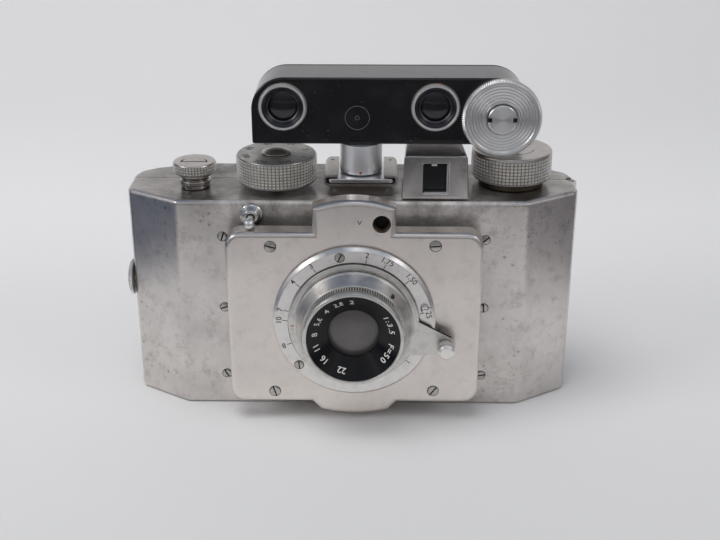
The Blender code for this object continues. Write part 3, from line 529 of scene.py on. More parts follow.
def old_aluminium(name, color, rough, pits, stain):
    """Polished aluminium gone cloudy, with fine grain and dark corrosion pits."""
    made = Finish(name, color, rough[0], 1.0)
    made.tint(made.ramp(made.noise(45.0, 6.0, 0.65), 0.42, 0.72, 0.0, 0.62 * stain), (0.36, 0.34, 0.32))
    made.tint(made.ramp(made.noise(260.0, 6.0, 0.7), 0.52, 0.75, 0.0, 0.6 * stain), (0.24, 0.215, 0.2))
    if pits:
        small = made.specks(950.0, 0.26, 60.0, 0.62 - 0.12 * pits, 0.72)
        large = made.specks(330.0, 0.20, 38.0, 0.66 - 0.12 * pits, 0.74)
        marks = made.math("MAXIMUM", small, large)
        made.tint(made.ramp(marks, 0.0, 1.0, 0.0, 0.8), (0.09, 0.075, 0.065))
    made.rough(made.noise(60.0, 2.0), *rough)
    made.bump(made.noise(1500.0, 3.0), 0.005, 0.5)
    return made


def machined(name, color, rough, darkening=0.4, grime_color=(0.13, 0.115, 0.10), anisotropy=0.0):
    """Turned metal with grime in patches."""
    made = Finish(name, color, rough[0], 1.0, Anisotropic=anisotropy, Anisotropic_Rotation=0.25)
    made.tint(made.ramp(made.noise(380.0, 5.0), 0.48, 0.78, 0.0, darkening), grime_color)
    made.rough(made.noise(500.0, 4.0), *rough)
    made.bump(made.noise(2600.0, 2.0), 0.003, 0.5)
    return made


def radial(made, axis):
    """Makes the highlights fan out from an axis, as on a turned face."""
    tangent = made.node("ShaderNodeTangent", direction_type="RADIAL", axis=axis)
    made.link(tangent.outputs["Tangent"], made.shader.inputs["Tangent"])
    return made.material


def lacquer(name, color, rough, chips):
    """Black lacquer with a slight orange peel, dust and little chips."""
    made = Finish(name, color, rough, 0.0, Coat_Weight=0.4, Coat_Roughness=0.08)
    made.tint(made.ramp(made.noise(120.0, 5.0), 0.5, 0.8, 0.0, 0.25), (0.045, 0.045, 0.05))
    made.tint(made.specks(800.0, 0.12, 70.0, 0.60 - 0.08 * chips, 0.72), (0.45, 0.43, 0.42))
    made.rough(made.noise(200.0, 5.0), rough * 0.8, rough * 1.4)
    made.bump(made.noise(900.0, 3.0), 0.003, 0.5)
    return made.material


def plain(name, color, rough, metallic=0.0, scale=600.0, **sockets):
    made = Finish(name, color, rough, metallic, **sockets)
    made.tint(made.ramp(made.noise(scale, 4.0), 0.45, 0.75, 0.0, 0.6), tuple(c * 0.6 for c in color))
    made.rough(made.noise(scale, 3.0), rough * 0.85, min(1.0, rough * 1.2))
    made.bump(made.noise(scale * 3, 2.0), 0.004, 0.4)
    return made.material


def rubberised_cloth(name):
    made = Finish(name, (0.022, 0.021, 0.02), 0.8)
    weave = made.node("ShaderNodeTexWave", wave_type="BANDS")
    weave.inputs["Scale"].default_value = 500.0
    made.link(made.coords, weave.inputs["Vector"])
    made.bump(weave.outputs["Fac"], 0.02, 0.5)
    made.tint(made.ramp(made.noise(300.0, 4.0), 0.5, 0.8, 0.0, 0.5), (0.06, 0.055, 0.05))
    return made.material


def body_metal():
    """The body's aluminium: its top is stained dark, and so is the front above the lens board."""
    made = old_aluminium("body_aluminium", (0.74, 0.70, 0.67), (0.25, 0.33), 1.0, 0.85)
    height, across = made.along("Z"), made.math("ABSOLUTE", made.along("X"), 0.0)
    top = made.ramp(height, (BODY_TOP - 0.16) * MM, (BODY_TOP - 0.02) * MM)
    ends = made.ramp(across, 0.066, 0.050, 0.35, 1.0)
    patches = made.ramp(made.noise(70.0, 6.0, 0.7), 0.36, 0.62, 0.45, 1.0)
    stained = made.math("MULTIPLY", made.math("MULTIPLY", top, ends), patches)
    made.tint(made.ramp(stained, 0.0, 1.0, 0.0, 0.95), (0.07, 0.064, 0.06))
    band = made.math("MULTIPLY", made.ramp(height, 0.0525, 0.0625), made.ramp(across, 0.048, 0.036))
    blotches = made.ramp(made.noise(120.0, 6.0, 0.7), 0.42, 0.66)
    dull = made.math("MULTIPLY", band, blotches)
    made.tint(made.ramp(dull, 0.0, 1.0, 0.0, 0.75), (0.16, 0.14, 0.13))
    made.link(made.ramp(band, 0.0, 1.0, 0.95, 0.6), made.shader.inputs["Metallic"])
    return made.material


BODY_METAL = body_metal()
BOARD_METAL = old_aluminium("board_aluminium", (0.84, 0.78, 0.735), (0.26, 0.36), 0.0, 0.3).material
RING_METAL = machined("ring_aluminium", (0.84, 0.815, 0.79), (0.28, 0.36), 0.2).material
LENS_METAL = radial(machined("lens_aluminium", (0.72, 0.70, 0.665), (0.3, 0.4), 0.35, anisotropy=0.3), "Y")
DIAL_METAL = radial(machined("dial_aluminium", (0.42, 0.41, 0.395), (0.3, 0.42), 0.6, anisotropy=0.3), "Z")
KNURL_METAL = machined("knurled_aluminium", (0.92, 0.90, 0.86), (0.32, 0.42), 0.3).material
# Dark colour laid in the valleys of knurls and teeth: painted shade.
VALLEY_SHADE = plain("painted_valley_shade", (0.24, 0.215, 0.19), 0.5)
WIND_METAL = old_aluminium("warm_aluminium", (0.60, 0.56, 0.53), (0.24, 0.36), 0.2, 0.5).material
CAP_METAL = machined("cap_nickel", (0.78, 0.74, 0.68), (0.36, 0.42), 0.15).material
WHEEL_METAL = radial(machined("wheel_aluminium", (0.93, 0.925, 0.92), (0.3, 0.36), 0.05,
                              anisotropy=0.7), "Y")
SHOE_METAL = old_aluminium("shoe_nickel", (0.50, 0.475, 0.45), (0.26, 0.4), 0.6, 0.9).material
FINDER_METAL = old_aluminium("finder_aluminium", (0.66, 0.63, 0.61), (0.16, 0.26), 0.6, 0.8).material
POST_METAL = machined("satin_chrome", (0.80, 0.80, 0.81), (0.26, 0.34), 0.15).material
TURNED_CHROME = radial(Finish("turned_chrome", (0.95, 0.95, 0.96), 0.45, 1.0,
                              Anisotropic=0.3, Anisotropic_Rotation=0.25), "Z")
BALL_NICKEL = machined("ball_nickel", (0.88, 0.875, 0.85), (0.3, 0.36), 0.05).material
LATCH_METAL = machined("latch_nickel", (0.85, 0.84, 0.81), (0.42, 0.5), 0.1).material
RF_RING_METAL = machined("ring_nickel", (0.88, 0.87, 0.84), (0.38, 0.46), 0.15).material
SHOE_DARK = old_aluminium("shoe_base_nickel", (0.30, 0.27, 0.25), (0.25, 0.4), 0.3, 0.8).material
NICKEL = machined("nickel_plate", (0.82, 0.81, 0.77), (0.2, 0.32), 0.15).material
STEEL = machined("plain_steel", (0.44, 0.43, 0.41), (0.3, 0.42), 0.5).material
SCREW = machined("screw_steel", (0.56, 0.54, 0.50), (0.25, 0.4), 0.6).material
BRASS = machined("old_brass", (0.17, 0.135, 0.10), (0.35, 0.5), 0.7, (0.06, 0.045, 0.03)).material
BLACK = lacquer("black_lacquer", (0.004, 0.004, 0.005), 0.2, 0.6)
ENAMEL = radial(Finish("ring_enamel", (0.002, 0.002, 0.003), 0.26, 0.0, Specular_IOR_Level=0.36,
                       Anisotropic=0.8, Anisotropic_Rotation=0.25), "Y")
MATT = plain("matt_black", (0.018, 0.018, 0.018), 0.7)
DARK = plain("dark_gap", (0.008, 0.007, 0.006), 0.9)
# Black for engravings, also used as painted shade in the aperture ring's valleys.
INK_AND_SHADE = plain("engraving_black_and_valley_shade", (0.035, 0.032, 0.03), 0.7)
# White for engravings, also used as a painted highlight in the viewfinder window.
WHITE = plain("engraving_white_and_glint", (0.75, 0.74, 0.70), 0.6)
RED = plain("engraving_red", (0.45, 0.05, 0.03), 0.5)
SLEEVE = plain("blued_sleeve", (0.008, 0.007, 0.010), 0.3)
RETAINER = machined("blued_retainer", (0.12, 0.115, 0.13), (0.3, 0.4), 0.2).material
SILVER_INK = plain("engraving_silver", (0.16, 0.16, 0.16), 0.5)
CLOTH = rubberised_cloth("rubberised_cloth")
HAZE = plain("hazy_glass", (0.115, 0.105, 0.10), 0.4, scale=130.0, Coat_Weight=0.8, Coat_Roughness=0.22)
GLASS = plain("clear_glass", (0.012, 0.012, 0.015), 0.12, Alpha=0.8, Coat_Weight=0.6, Coat_Roughness=0.12)
MIRROR = plain("silvered_mirror", (0.85, 0.86, 0.88), 0.05, 1.0)
RED_GLASS = plain("red_glass", (0.30, 0.01, 0.008), 0.1, Alpha=0.85, Coat_Weight=1.0)
SLOT_MATERIAL = {"aluminium": BODY_METAL, "nickel": NICKEL, "steel": STEEL, "brass": BRASS,
                 "black_lacquer": BLACK, "blackened": MATT, "cloth": CLOTH, "glass": GLASS,
                 "mirror": MIRROR, "red_glass": RED_GLASS}


def dress_cad_nodes():
    """Gives every CAD node a procedural material; those seen from outside are replaced later."""
    for name, node in frame["nodes"].items():
        node.data.materials.clear()
        node.data.materials.append(SLOT_MATERIAL[SLOT_OF[name]])
        smooth(node, 35.0)


# ---------------------------------------------------------------- figures and screws

def figure(text, size, matrix, bold=0.0):
    """A number as a thin solid, drawn in XY about its own middle and then placed."""
    curve = bpy.data.curves.new("figure", "FONT")
    curve.body = text
    curve.size = size
    curve.align_x, curve.align_y = "CENTER", "CENTER"
    curve.extrude = 0.015
    curve.offset = bold
    curve.resolution_u = 3
    holder = bpy.data.objects.new("figure", curve)
    bpy.context.scene.collection.objects.link(holder)
    bpy.context.view_layer.update()
    data = bpy.data.meshes.new_from_object(holder.evaluated_get(bpy.context.evaluated_depsgraph_get()))
    bpy.data.objects.remove(holder)
    mesh = bmesh.new()
    mesh.from_mesh(data)
    bpy.data.meshes.remove(data)
    return moved(mesh, matrix)


def stroke(length, width, matrix):
    """A thin straight line along local Y."""
    return moved(box((-width / 2, -length / 2, -0.015), (width / 2, length / 2, 0.015)), matrix)


def slotted_head(radius, slot, dome):
    """Mesh of a screw head in metres about its own middle, with its face towards +Z."""
    profile = [(0.0, dome + 0.06), (radius * 0.5, dome + 0.04), (radius * 0.85, dome), (radius, dome - 0.14),
               (radius, -0.4), (0.0, -0.4)]
    head = object_from("slotted_head", turned(softened(profile, 0.08, 2), (0, 0), segments=40))
    cut(head, box((-radius * 1.2, -slot / 2, -0.1), (radius * 1.2, slot / 2, 1.0)))
    data = head.data
    bpy.data.objects.remove(head)
    return data


def screws(name, rows, y, radius, slot, body, dome=0.26):
    """Slotted screw heads from rows of (x, z, roll in degrees) at one Y, with painted shade in the slots and
    a painted shadow ring round each rim.
    """
    data = slotted_head(radius, slot, dome)
    shadows = []
    for number, (x, z, roll) in enumerate(rows, 1):
        matrix = on_front(x, z, y, roll)
        head = bpy.data.objects.new(f"{name}_{number}", data.copy())
        head.data.transform(Matrix.Scale(MM, 4) @ matrix @ Matrix.Scale(1 / MM, 4))
        bpy.context.scene.collection.objects.link(head)
        finish(head, SCREW, body)
        # the dark ring round the head is painted shadow, and the dark strip in the slot is painted shade
        rim = [(radius, -0.05), (radius + 0.15, -0.05), (radius + 0.15, 0.03), (radius, 0.03)]
        shadows.append(moved(turned(rim, (0, 0), segments=40), matrix))
        reach = radius * 0.97
        shadows.append(moved(box((-reach, -slot / 2, -0.08), (reach, slot / 2, 0.05)), matrix))
    bpy.data.meshes.remove(data)
    detail(name + "_shadows", together(shadows), DARK, body)


# ---------------------------------------------------------------- body and back cover

FRONT_HALF = 50.6
PLAN = [(FRONT_HALF, 0.0), (65.8, 9.6), (BODY_HALF, 12.0), (BODY_HALF, 23.0), (65.4, 26.9), (61.0, 30.2),
        (56.2, 31.9), (41.8, BODY_DEPTH)]
WALL, ROOF = 1.6, 1.8
EDGE_RADII = (4.0, 2.0, 2.0, 1.5, 2.0, 2.0, 2.0, 4.0)
SEAM = 20.3
SEAM_GAP = 0.3
HINGE_X, HINGE_RADIUS, HINGE_ROOM, PIN_HOLE = 66.0, 1.5, 0.3, 0.85
STRUT_OPENING = (34.0, 7.5, 58.4)        # half width, low and high
BEYOND = 80.0                            # farther out than any piece


def body_plan(shrink=0.0):
    """Plan of the closed body, counter-clockwise, or that of its inside."""
    right = [(x, back(depth)) for x, depth in PLAN]
    points = right + [(-x, y) for x, y in reversed(right)]
    lines = []
    for a, b in zip(points, points[1:] + points[:1]):
        edge = (Vector(b) - Vector(a)).normalized()
        lines.append((Vector(a) + Vector((-edge.y, edge.x)) * shrink, edge))
    return [tuple(p + d * ((q - p).cross(e) / d.cross(e)))
            for (p, d), (q, e) in zip(lines[-1:] + lines[:-1], lines)]


def hinge_knuckle(side, low, high):
    """Part of the hinge barrel with its tab; side -1 is the body's and +1 the cover's."""
    centre = (HINGE_X, back(SEAM))
    arc = circle(centre, HINGE_RADIUS, 24, side * 30.0, -side * 210.0)
    tab = [(centre[0] - HINGE_RADIUS, centre[1] + side * 2.8), (centre[0] + 0.4, centre[1] + side * 2.8)]
    return prism(arc + tab, low, high)


def half_body(node, front, knuckles):
    """One half of the rounded body, hollow, with its part of the hinge."""
    corners = [(*point, radius) for point, radius in zip(body_plan(), EDGE_RADII + EDGE_RADII[::-1])]
    half = object_from(node + "_look", pillow(rounded(corners), 0.0, BODY_TOP, (1.2, 1.4)))
    edge = back(SEAM) + (-SEAM_GAP / 2 if front else SEAM_GAP / 2)
    y_low, y_high = (edge, BEYOND) if front else (-BEYOND, edge)
    cut(half, box((-BEYOND, y_low, -1.0), (BEYOND, y_high, BODY_TOP + 1.0)))
    cut(half, prism(body_plan(WALL), ROOF, BODY_TOP - ROOF))
    cut(half, disc((HINGE_X, back(SEAM)), HINGE_RADIUS + HINGE_ROOM, -1.0, BODY_TOP + 1.0))
    join(half, *[hinge_knuckle(-1 if front else 1, low, high) for low, high in knuckles])
    return cut(half, disc((HINGE_X, back(SEAM)), PIN_HOLE, -1.0, BODY_TOP + 1.0, segments=24))


def body():
    shell = half_body("body_shell", True, [(0.5, 16.0), (50.0, 65.9)])
    half, foot, head = STRUT_OPENING
    cut(shell, box((AXIS[0] - half, back(-1.0), foot), (AXIS[0] + half, back(3.0), head)))
    for node, radius in (("shutter_drum", 2.0), ("wind_knob", 1.9), ("supply_spool", 4.2)):
        cut(shell, disc(centre_of(node, "z"), radius, BODY_TOP - 3.0, BODY_TOP + 1.0, segments=32))
    cut(shell, disc(centre_of("tripod_bush", "z"), 6.3, -1.0, 3.0),
        disc(centre_of("release_button", "y"), 1.3, back(-1.0), back(3.0), "y", 32),
        disc((back(14.0), middle_of("back_latch").z), 1.9, -70.0, -60.0, "x", 32))
    show_as("body_shell", shell, BODY_METAL)
    rows = ((-37.6, 55.4, 70.0), (-37.9, 32.7, 20.0), (-38.2, 10.3, 120.0),
            (38.9, 54.7, 40.0), (39.2, 32.9, 95.0), (39.3, 10.2, 10.0))
    screws("body_screw", rows, back(-0.02), 1.35, 0.45, "camera_body")


def cover():
    shell = half_body("back_cover", False, [(16.3, 49.7)])
    for side in ("left", "right"):
        window = centre_of("number_window_" + side, "y")
        cut(shell, disc(window, 4.3, back(30.0), back(36.0), "y", 48))
    show_as("back_cover", shell, BODY_METAL)


def body_fittings():
    centre = centre_of("release_button", "y")
    collar = after(back(0.0), [(1.25, -0.1), (3.4, -0.1), (3.4, -1.1), (3.05, -1.45), (2.75, -1.45),
                               (2.0, -3.1), (1.25, -3.2)])
    lathe("release_collar", collar, centre, "y", NICKEL, 0.2)
    ball, middle = 1.62, -8.0
    knob = [(ball * math.sin(math.radians(turn)), back(middle - ball * math.cos(math.radians(turn))))
            for turn in range(0, 145, 9)]
    knob += [(0.9, back(middle + ball)), (0.9, back(3.7)), (0.0, back(3.7))]
    lathe("release_button", knob, centre, "y", BALL_NICKEL, segments=48)
    outer, height = box_of("back_latch")[0].x, middle_of("back_latch").z
    radius = 5.5
    latch = [(0.0, outer), (radius - 1.0, outer), (radius, outer + 0.6, 0.2), (radius, outer + 1.3, 0.2),
             (1.5, outer + 1.4), (1.5, -63.8), (0.0, -63.8)]
    piece = object_from("back_latch_look", turned(softened(latch, 0.2), (back(14.0), height), "x", teeth=48))
    join(piece, box((-64.2, back(12.0), height - 1.6), (-63.2, back(23.6), height + 1.6)))
    cut(piece, box((outer - 1.0, back(13.4), height - 4.0), (outer + 0.5, back(14.6), height + 4.0)))
    show_as("back_latch", piece, LATCH_METAL)


# ---------------------------------------------------------------- lens board

BOARD_FOOT, BOARD_HEAD = 6.2, 60.6
TAB_HALF, TAB_SHOULDER = 11.8, 68.0


def board_outline():
    """Front view of the lens board with its tabs, as (x, z)."""
    low, high = box_of("lens_board")
    left, right, middle = low.x, high.x, AXIS[0]
    foot, head, shoulder, top = BOARD_FOOT, BOARD_HEAD, TAB_SHOULDER, high.z
    tab, chin, chin_side, corner = TAB_HALF, 9.9, 3.4, 4.5
    corners = [(left, foot, corner), (middle - 12.7, foot, 0), (middle - chin, chin_side, 0)]
    chin_arc = arc_through((middle - chin, chin_side), (middle + chin, chin_side), 1.2)
    corners += [(*point, 0) for point in chin_arc]
    corners += [(middle + chin, chin_side, 0), (middle + 12.7, foot, 0), (right, foot, corner),
                (right, head, corner), (middle + tab, head, 0), (middle + tab, shoulder, 0)]
    tab_arc = arc_through((middle + tab, shoulder), (middle - tab, shoulder), top - shoulder)
    corners += [(*point, 0) for point in tab_arc]
    corners += [(middle - tab, shoulder, 0), (middle - tab, head, 0), (left, head, corner)]
    return rounded(corners)


def lens_board():
    low, high = box_of("lens_board")
    front, rear = low.y, high.y
    sheet, wall = 1.6, 1.6
    board = object_from("lens_board_look", pillow(board_outline(), front, rear, (1.5, 0.0), "y"))
    inside = rectangle((low.x + wall, BOARD_FOOT + wall), (high.x - wall, BOARD_HEAD - wall))
    pan = rounded([(x, z, 3.0) for x, z in inside])
    tab = rectangle((AXIS[0] - TAB_HALF + wall, 57.0), (AXIS[0] + TAB_HALF - wall, TAB_SHOULDER - wall))
    cut(board, prism(pan, front + sheet, rear + 1.0, "y"), prism(tab, front + sheet, rear + 1.0, "y"))
    bush = centre_of("tab_bush", "y")
    cut(board, disc(AXIS, 17.0, front - 1.0, rear + 1.0, "y", 96))
    cut(board, disc(bush, 2.6, front - 1.0, rear + 1.0, "y", 48))
    show_as("lens_board", board, BOARD_METAL)
    ring = after(front, [(1.7, 2.4), (2.05, 1.2), (2.58, 0.5), (2.58, 4.0), (1.7, 4.0)])
    lathe("tab_bush", ring, bush, "y", BRASS, segments=48)
    # a dark disc deep in the bush's bore: painted shade
    detail("tab_bore_shade", disc(bush, 1.8, front + 3.0, front + 3.3, "y", 32), DARK, "standard")
    rows = ((-22.8, 56.5, -14.0), (23.95, 56.9, 4.0), (-22.7, 9.9, 108.0), (24.3, 10.3, 52.0))
    screws("board_screw", rows, front - 0.02, 1.6, 0.42, "standard")
    chevron = [stroke(1.3, 0.24, on_front(2.5 + side * 0.28, 63.9, front - 0.005, side * -25.0))
               for side in (-1, 1)]
    detail("board_index", together(chevron), INK_AND_SHADE, "standard", flat=True)


def bellows():
    low, high = box_of("bellows")
    pleats, deep, skin = 7, 3.2, 0.5
    step = (high.y - low.y - 0.2) / (2 * pleats)
    outer = [(deep if i % 2 else 0.0, low.y + 0.1 + i * step) for i in range(2 * pleats + 1)]
    inner = [(out - skin, y) for out, y in reversed(outer)]
    sleeve = object_from("bellows_look", pleated_sleeve(outer + inner, 21.6, 21.0))
    sleeve.data.materials.append(CLOTH)
    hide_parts("bellows")
    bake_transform(sleeve)


# ---------------------------------------------------------------- lens and focusing scale

RING_FACE = back(-12.2)
SCALE = ((199.5, "8"), (177.5, "10"), (168.5, "7"), (143.0, "4"), (124.0, "3"), (80.0, "2"), (64.0, "1.75"),
         (41.0, "1.50"), (10.0, "1.25"), (-38.0, ""))


def focusing_scale():
    rim = radius_of("scale_ring")
    face = rim - 1.0
    profile = [(19.1, back(-11.6)), (19.1, RING_FACE), (face, RING_FACE), (rim - 0.1, back(-11.3)),
               (rim, back(-11.1)), (rim, back(-10.5)), (17.0, back(-10.5)), (17.0, back(-11.6))]
    lathe("scale_ring", profile, AXIS, "y", RING_METAL, 0.12, segments=160)
    marks = []
    for angle, text in SCALE:
        marks.append(stroke(1.5, 0.2, on_front(*polar(AXIS, 19.95, angle), RING_FACE - 0.005, angle - 90.0)))
        if text:
            turn = angle if text == "8" else angle - 90.0
            spot = on_front(*polar(AXIS, 21.65, angle), RING_FACE - 0.01, turn)
            marks.append(figure(text, 2.3, spot, 0.02))
    detail("scale_figures", together(marks), INK_AND_SHADE, "standard", flat=True)
    rows = [(*polar(AXIS, 21.0, angle), roll)
            for angle, roll in ((101.0, 65.0), (220.0, 95.0), (340.0, 30.0))]
    screws("ring_screw", rows, RING_FACE - 0.02, 1.3, 0.36, "standard", 0.22)
    stop = centre_of("focus_stop_pin", "y")
    pin = after(back(0.0), [(0.0, -14.0), (0.65, -13.9), (1.1, -13.4), (1.25, -12.9), (1.25, -12.3),
                            (0.0, -12.3)])
    lathe("focus_stop_pin", pin, stop, "y", NICKEL, 0.2, segments=40)


def focusing_lever():
    pin = centre_of("focus_pin", "y")
    angle, front = -13.5, back(-13.3)
    flange = [(14.6, front), (18.0, front), (18.2, front + 0.15), (18.45, front + 0.15), (18.8, front + 0.3),
              (18.8, back(-12.3)), (16.6, back(-12.3)), (16.6, back(-6.5)), (14.6, back(-6.5))]
    lever = object_from("focus_lever_look", turned(softened(flange, 0.08), AXIS, "y", segments=160))
    root = [polar(AXIS, 18.0, angle + 18.5), polar(AXIS, 18.0, angle - 19.5)]
    nose = circle(pin, 2.9, 16, angle - 70.0, 140.0)
    arm = soften(object_from("arm", prism(root + nose, front + 0.02, back(-12.5), "y")), 0.15, 30.0, 2)
    combine(lever, arm, "UNION")
    show_as("focus_lever", lever, LENS_METAL)
    # a thin dark strip along the lever's upper edge: painted shade and painted reflection of the lever's
    # side
    side = (Vector(nose[-1]) - Vector(root[0])).normalized()
    across = Vector((-side.y, side.x)) * 0.1
    near, far = Vector(root[0]) + side * 0.8, Vector(nose[-1])
    edge = [tuple(point) for point in (near, far, far + across, near + across)]
    detail("lever_edge_shade", prism(edge, front + 0.12, back(-12.5), "y"), DARK, "focus_lever")
    low = back(-18.2)
    knob = after(low, [(0.0, 0.0), (1.7, 0.0), (2.35, 0.6), (2.35, 2.0), (2.1, 2.1), (2.5, 2.3, 0.25),
                       (2.5, 3.8, 0.25), (2.1, 4.0), (2.1, 4.6), (0.0, 4.6)])
    lathe("focus_pin", knob, pin, "y", KNURL_METAL, 0.1, teeth=26)
    index = stroke(1.1, 0.28, on_front(*polar(AXIS, 17.8, 181.0), front - 0.01, 91.0))
    detail("focus_index", index, RED, "focus_lever", flat=True)


# Figures of the name ring, each with its angle: the aperture, the focal length, the f-numbers.
NAME_RING = (("1", 34.0), (":", 27.5), ("3", 21.0), (".", 14.5), ("5", 9.0),
             ("F", -14.0), ("=", -22.5), ("5", -31.0), ("0", -40.0),
             ("2", 92.0), ("2.8", 112.0), ("4", 133.0), ("5.6", 154.0),
             ("8", 176.0), ("11", 198.0), ("16", 221.0), ("22", 252.0))


def lens():
    tube = after(back(0.0), [(7.0, 0.5), (14.2, 0.5), (14.2, -13.8), (16.9, -13.8), (17.2, -14.0),
                             (17.2, -14.4), (16.7, -14.7), (14.9, -18.4), (14.6, -18.6), (12.9, -18.6),
                             (12.9, -20.3), (12.5, -20.3), (10.5, -19.2), (10.5, -9.0), (7.0, -9.0)])
    lathe("lens_tube", tube, AXIS, "y", LENS_METAL, 0.12, segments=160)
    grip = after(back(0.0), [(13.3, -18.9), (14.5, -18.9), (14.9, -19.0, 0.45), (14.9, -20.95, 0.45),
                             (14.6, -21.0, 0.15), (13.3, -21.0)])
    lathe("aperture_ring", grip, AXIS, "y", LENS_METAL, teeth=124, degrees=20.0)
    # a dark ring under the teeth of the aperture ring: painted shade in the valleys
    darkening = after(back(0.0), [(13.4, -18.95), (14.62, -18.95), (14.62, -20.97), (13.4, -20.97)])
    lathe("aperture_ring_grime", darkening, AXIS, "y", INK_AND_SHADE, body="aperture_ring", segments=124)
    slope = 3.9 / 5.9
    plate = [(13.2, back(-21.2)), (7.4, back(-18.05)), (7.3, back(-18.3)), (7.42, back(-18.66)),
             (13.2, back(-18.6 - slope * 5.9))]
    lathe("name_ring", plate, AXIS, "y", ENAMEL, segments=160)
    rim = after(back(0.0), [(13.26, -21.35), (13.26, -22.6), (13.55, -22.8), (14.1, -22.72), (14.4, -22.3),
                            (14.4, -21.35)])
    lathe("name_ring_rim", rim, AXIS, "y", LENS_METAL, 0.12, segments=160)
    dome = [(10.1 * step / 20, back(-17.9 + 1.6 * (step / 20) ** 2)) for step in range(21)]
    glass = dome + after(back(0.0), [(10.1, -14.5), (5.0, -13.9), (0.0, -13.7)])
    lathe("front_element", glass, AXIS, "y", HAZE)
    reach = 10.9
    y = back(-18.6 - slope * (reach - 7.3)) - 0.02
    lean = Matrix.Rotation(math.atan(slope), 4, "X")
    marks = [figure(text, 2.6, on_front(*polar(AXIS, reach, angle), y, angle - 90.0) @ lean, 0.03)
             for text, angle in NAME_RING]
    detail("name_ring_figures", together(marks), WHITE, "lens_tube", flat=True)
    spot = polar(AXIS, 15.55, 45.0)
    dot = after(back(0.0), [(0.0, -17.75), (0.55, -17.75), (0.55, -16.6), (0.0, -16.6)])
    lathe("aperture_index", dot, spot, "y", INK_AND_SHADE, body="lens_tube", segments=24)


# ---------------------------------------------------------------- top controls

def knob_grip(name, centre, radius, low, high, columns, rows, body):
    """The knurled side of a knob: small pyramids that stand out of a band coloured dark as painted shade in
    the valleys.
    """
    band = knurled_band(centre, radius, low, high, columns, rows, 0.5)
    detail(name, band, KNURL_METAL, body, flat=True)
    # the band under the pyramids is painted shade in the valleys
    valley_shade = [(radius - 1.0, low), (radius - 0.27, low), (radius - 0.27, high), (radius - 1.0, high)]
    lathe(name + "_dirt", valley_shade, centre, "z", VALLEY_SHADE, body=body, segments=columns * 2)


def speed_dial():
    low, high = box_of("speed_dial")
    centre = centre_of("speed_dial", "z")
    radius = radius_of("speed_dial")
    profile = after(low.z, [(0.0, 0.0), (radius - 0.6, 0.0), (radius - 0.3, 0.3), (radius - 0.3, 0.55),
                            (radius - 0.8, 0.6)])
    profile += after(high.z, [(radius - 0.8, -0.4), (radius - 0.25, -0.35), (radius - 0.45, 0.0),
                              (0.0, 0.0)])
    lathe("speed_dial", profile, centre, "z", DIAL_METAL, 0.12, segments=128)
    knob_grip("dial_grip", centre, radius, low.z + 0.6, high.z - 0.35, 66, 8, "speed_dial")
    marks = []
    face = high.z + 0.005
    for number, text in enumerate(("500", "250", "100", "50", "25", "10", "5", "1")):
        angle = 270.0 - 45.0 * number + 20.0
        number_spot, line_spot = polar(centre, radius - 2.6, angle), polar(centre, radius - 1.0, angle)
        marks.append(figure(text, 2.6, on_top(*number_spot, face, angle + 90.0), 0.04))
        marks.append(stroke(0.9, 0.2, on_top(*line_spot, face, angle - 90.0)))
    detail("dial_figures", together(marks), INK_AND_SHADE, "speed_dial", flat=True)
    cap_low, cap_high = box_of("dial_cap")
    wide, rise = radius_of("dial_cap"), cap_high.z - cap_low.z - 0.15
    cap = [(wide * step / 12, cap_high.z - rise * (step / 12) ** 2) for step in range(13)]
    cap += [(wide, cap_low.z), (0.0, cap_low.z)]
    lathe("dial_cap", cap, centre, "z", CAP_METAL)


def wind_knob():
    low, high = box_of("wind_knob")
    centre = centre_of("wind_knob", "z")
    radius, foot = radius_of("wind_knob"), 68.6
    profile = [(0.0, low.z), (1.5, low.z)]
    profile += after(foot, [(1.5, 0.0), (radius - 0.6, 0.0), (radius - 0.35, 0.25), (radius - 0.35, 0.5),
                            (radius - 0.8, 0.6)])
    profile += after(high.z, [(radius - 0.8, -1.0), (radius - 0.1, -0.9), (radius - 0.1, -0.3),
                              (radius - 0.4, 0.0), (0.0, 0.0)])
    lathe("wind_knob", profile, centre, "z", WIND_METAL, 0.12, segments=128)
    knob_grip("wind_grip", centre, radius, foot + 0.6, high.z - 0.95, 66, 7, "wind")
    bow = circle((0, 0), 6.6, 24, 235.0, 110.0) + circle((0, 0), 6.4, 24, 235.0, 110.0)[::-1]
    face = high.z + 0.005
    arrow = [moved(prism(bow, -0.015, 0.015), on_top(*centre, face))]
    for side in (-1, 1):
        tip = on_top(*polar(centre, 6.5, 235.0), face, 150.0 + side * 26.0)
        arrow.append(stroke(1.9, 0.2, tip @ Matrix.Translation((0, -0.95, 0))))
    detail("wind_arrow", together(arrow), INK_AND_SHADE, "wind", flat=True)
    low, high = box_of("wind_collar")
    ring = [(1.9, low.z), (9.6, low.z), (9.6, high.z), (1.9, high.z)]
    lathe("wind_collar", ring, centre, "z", BRASS)


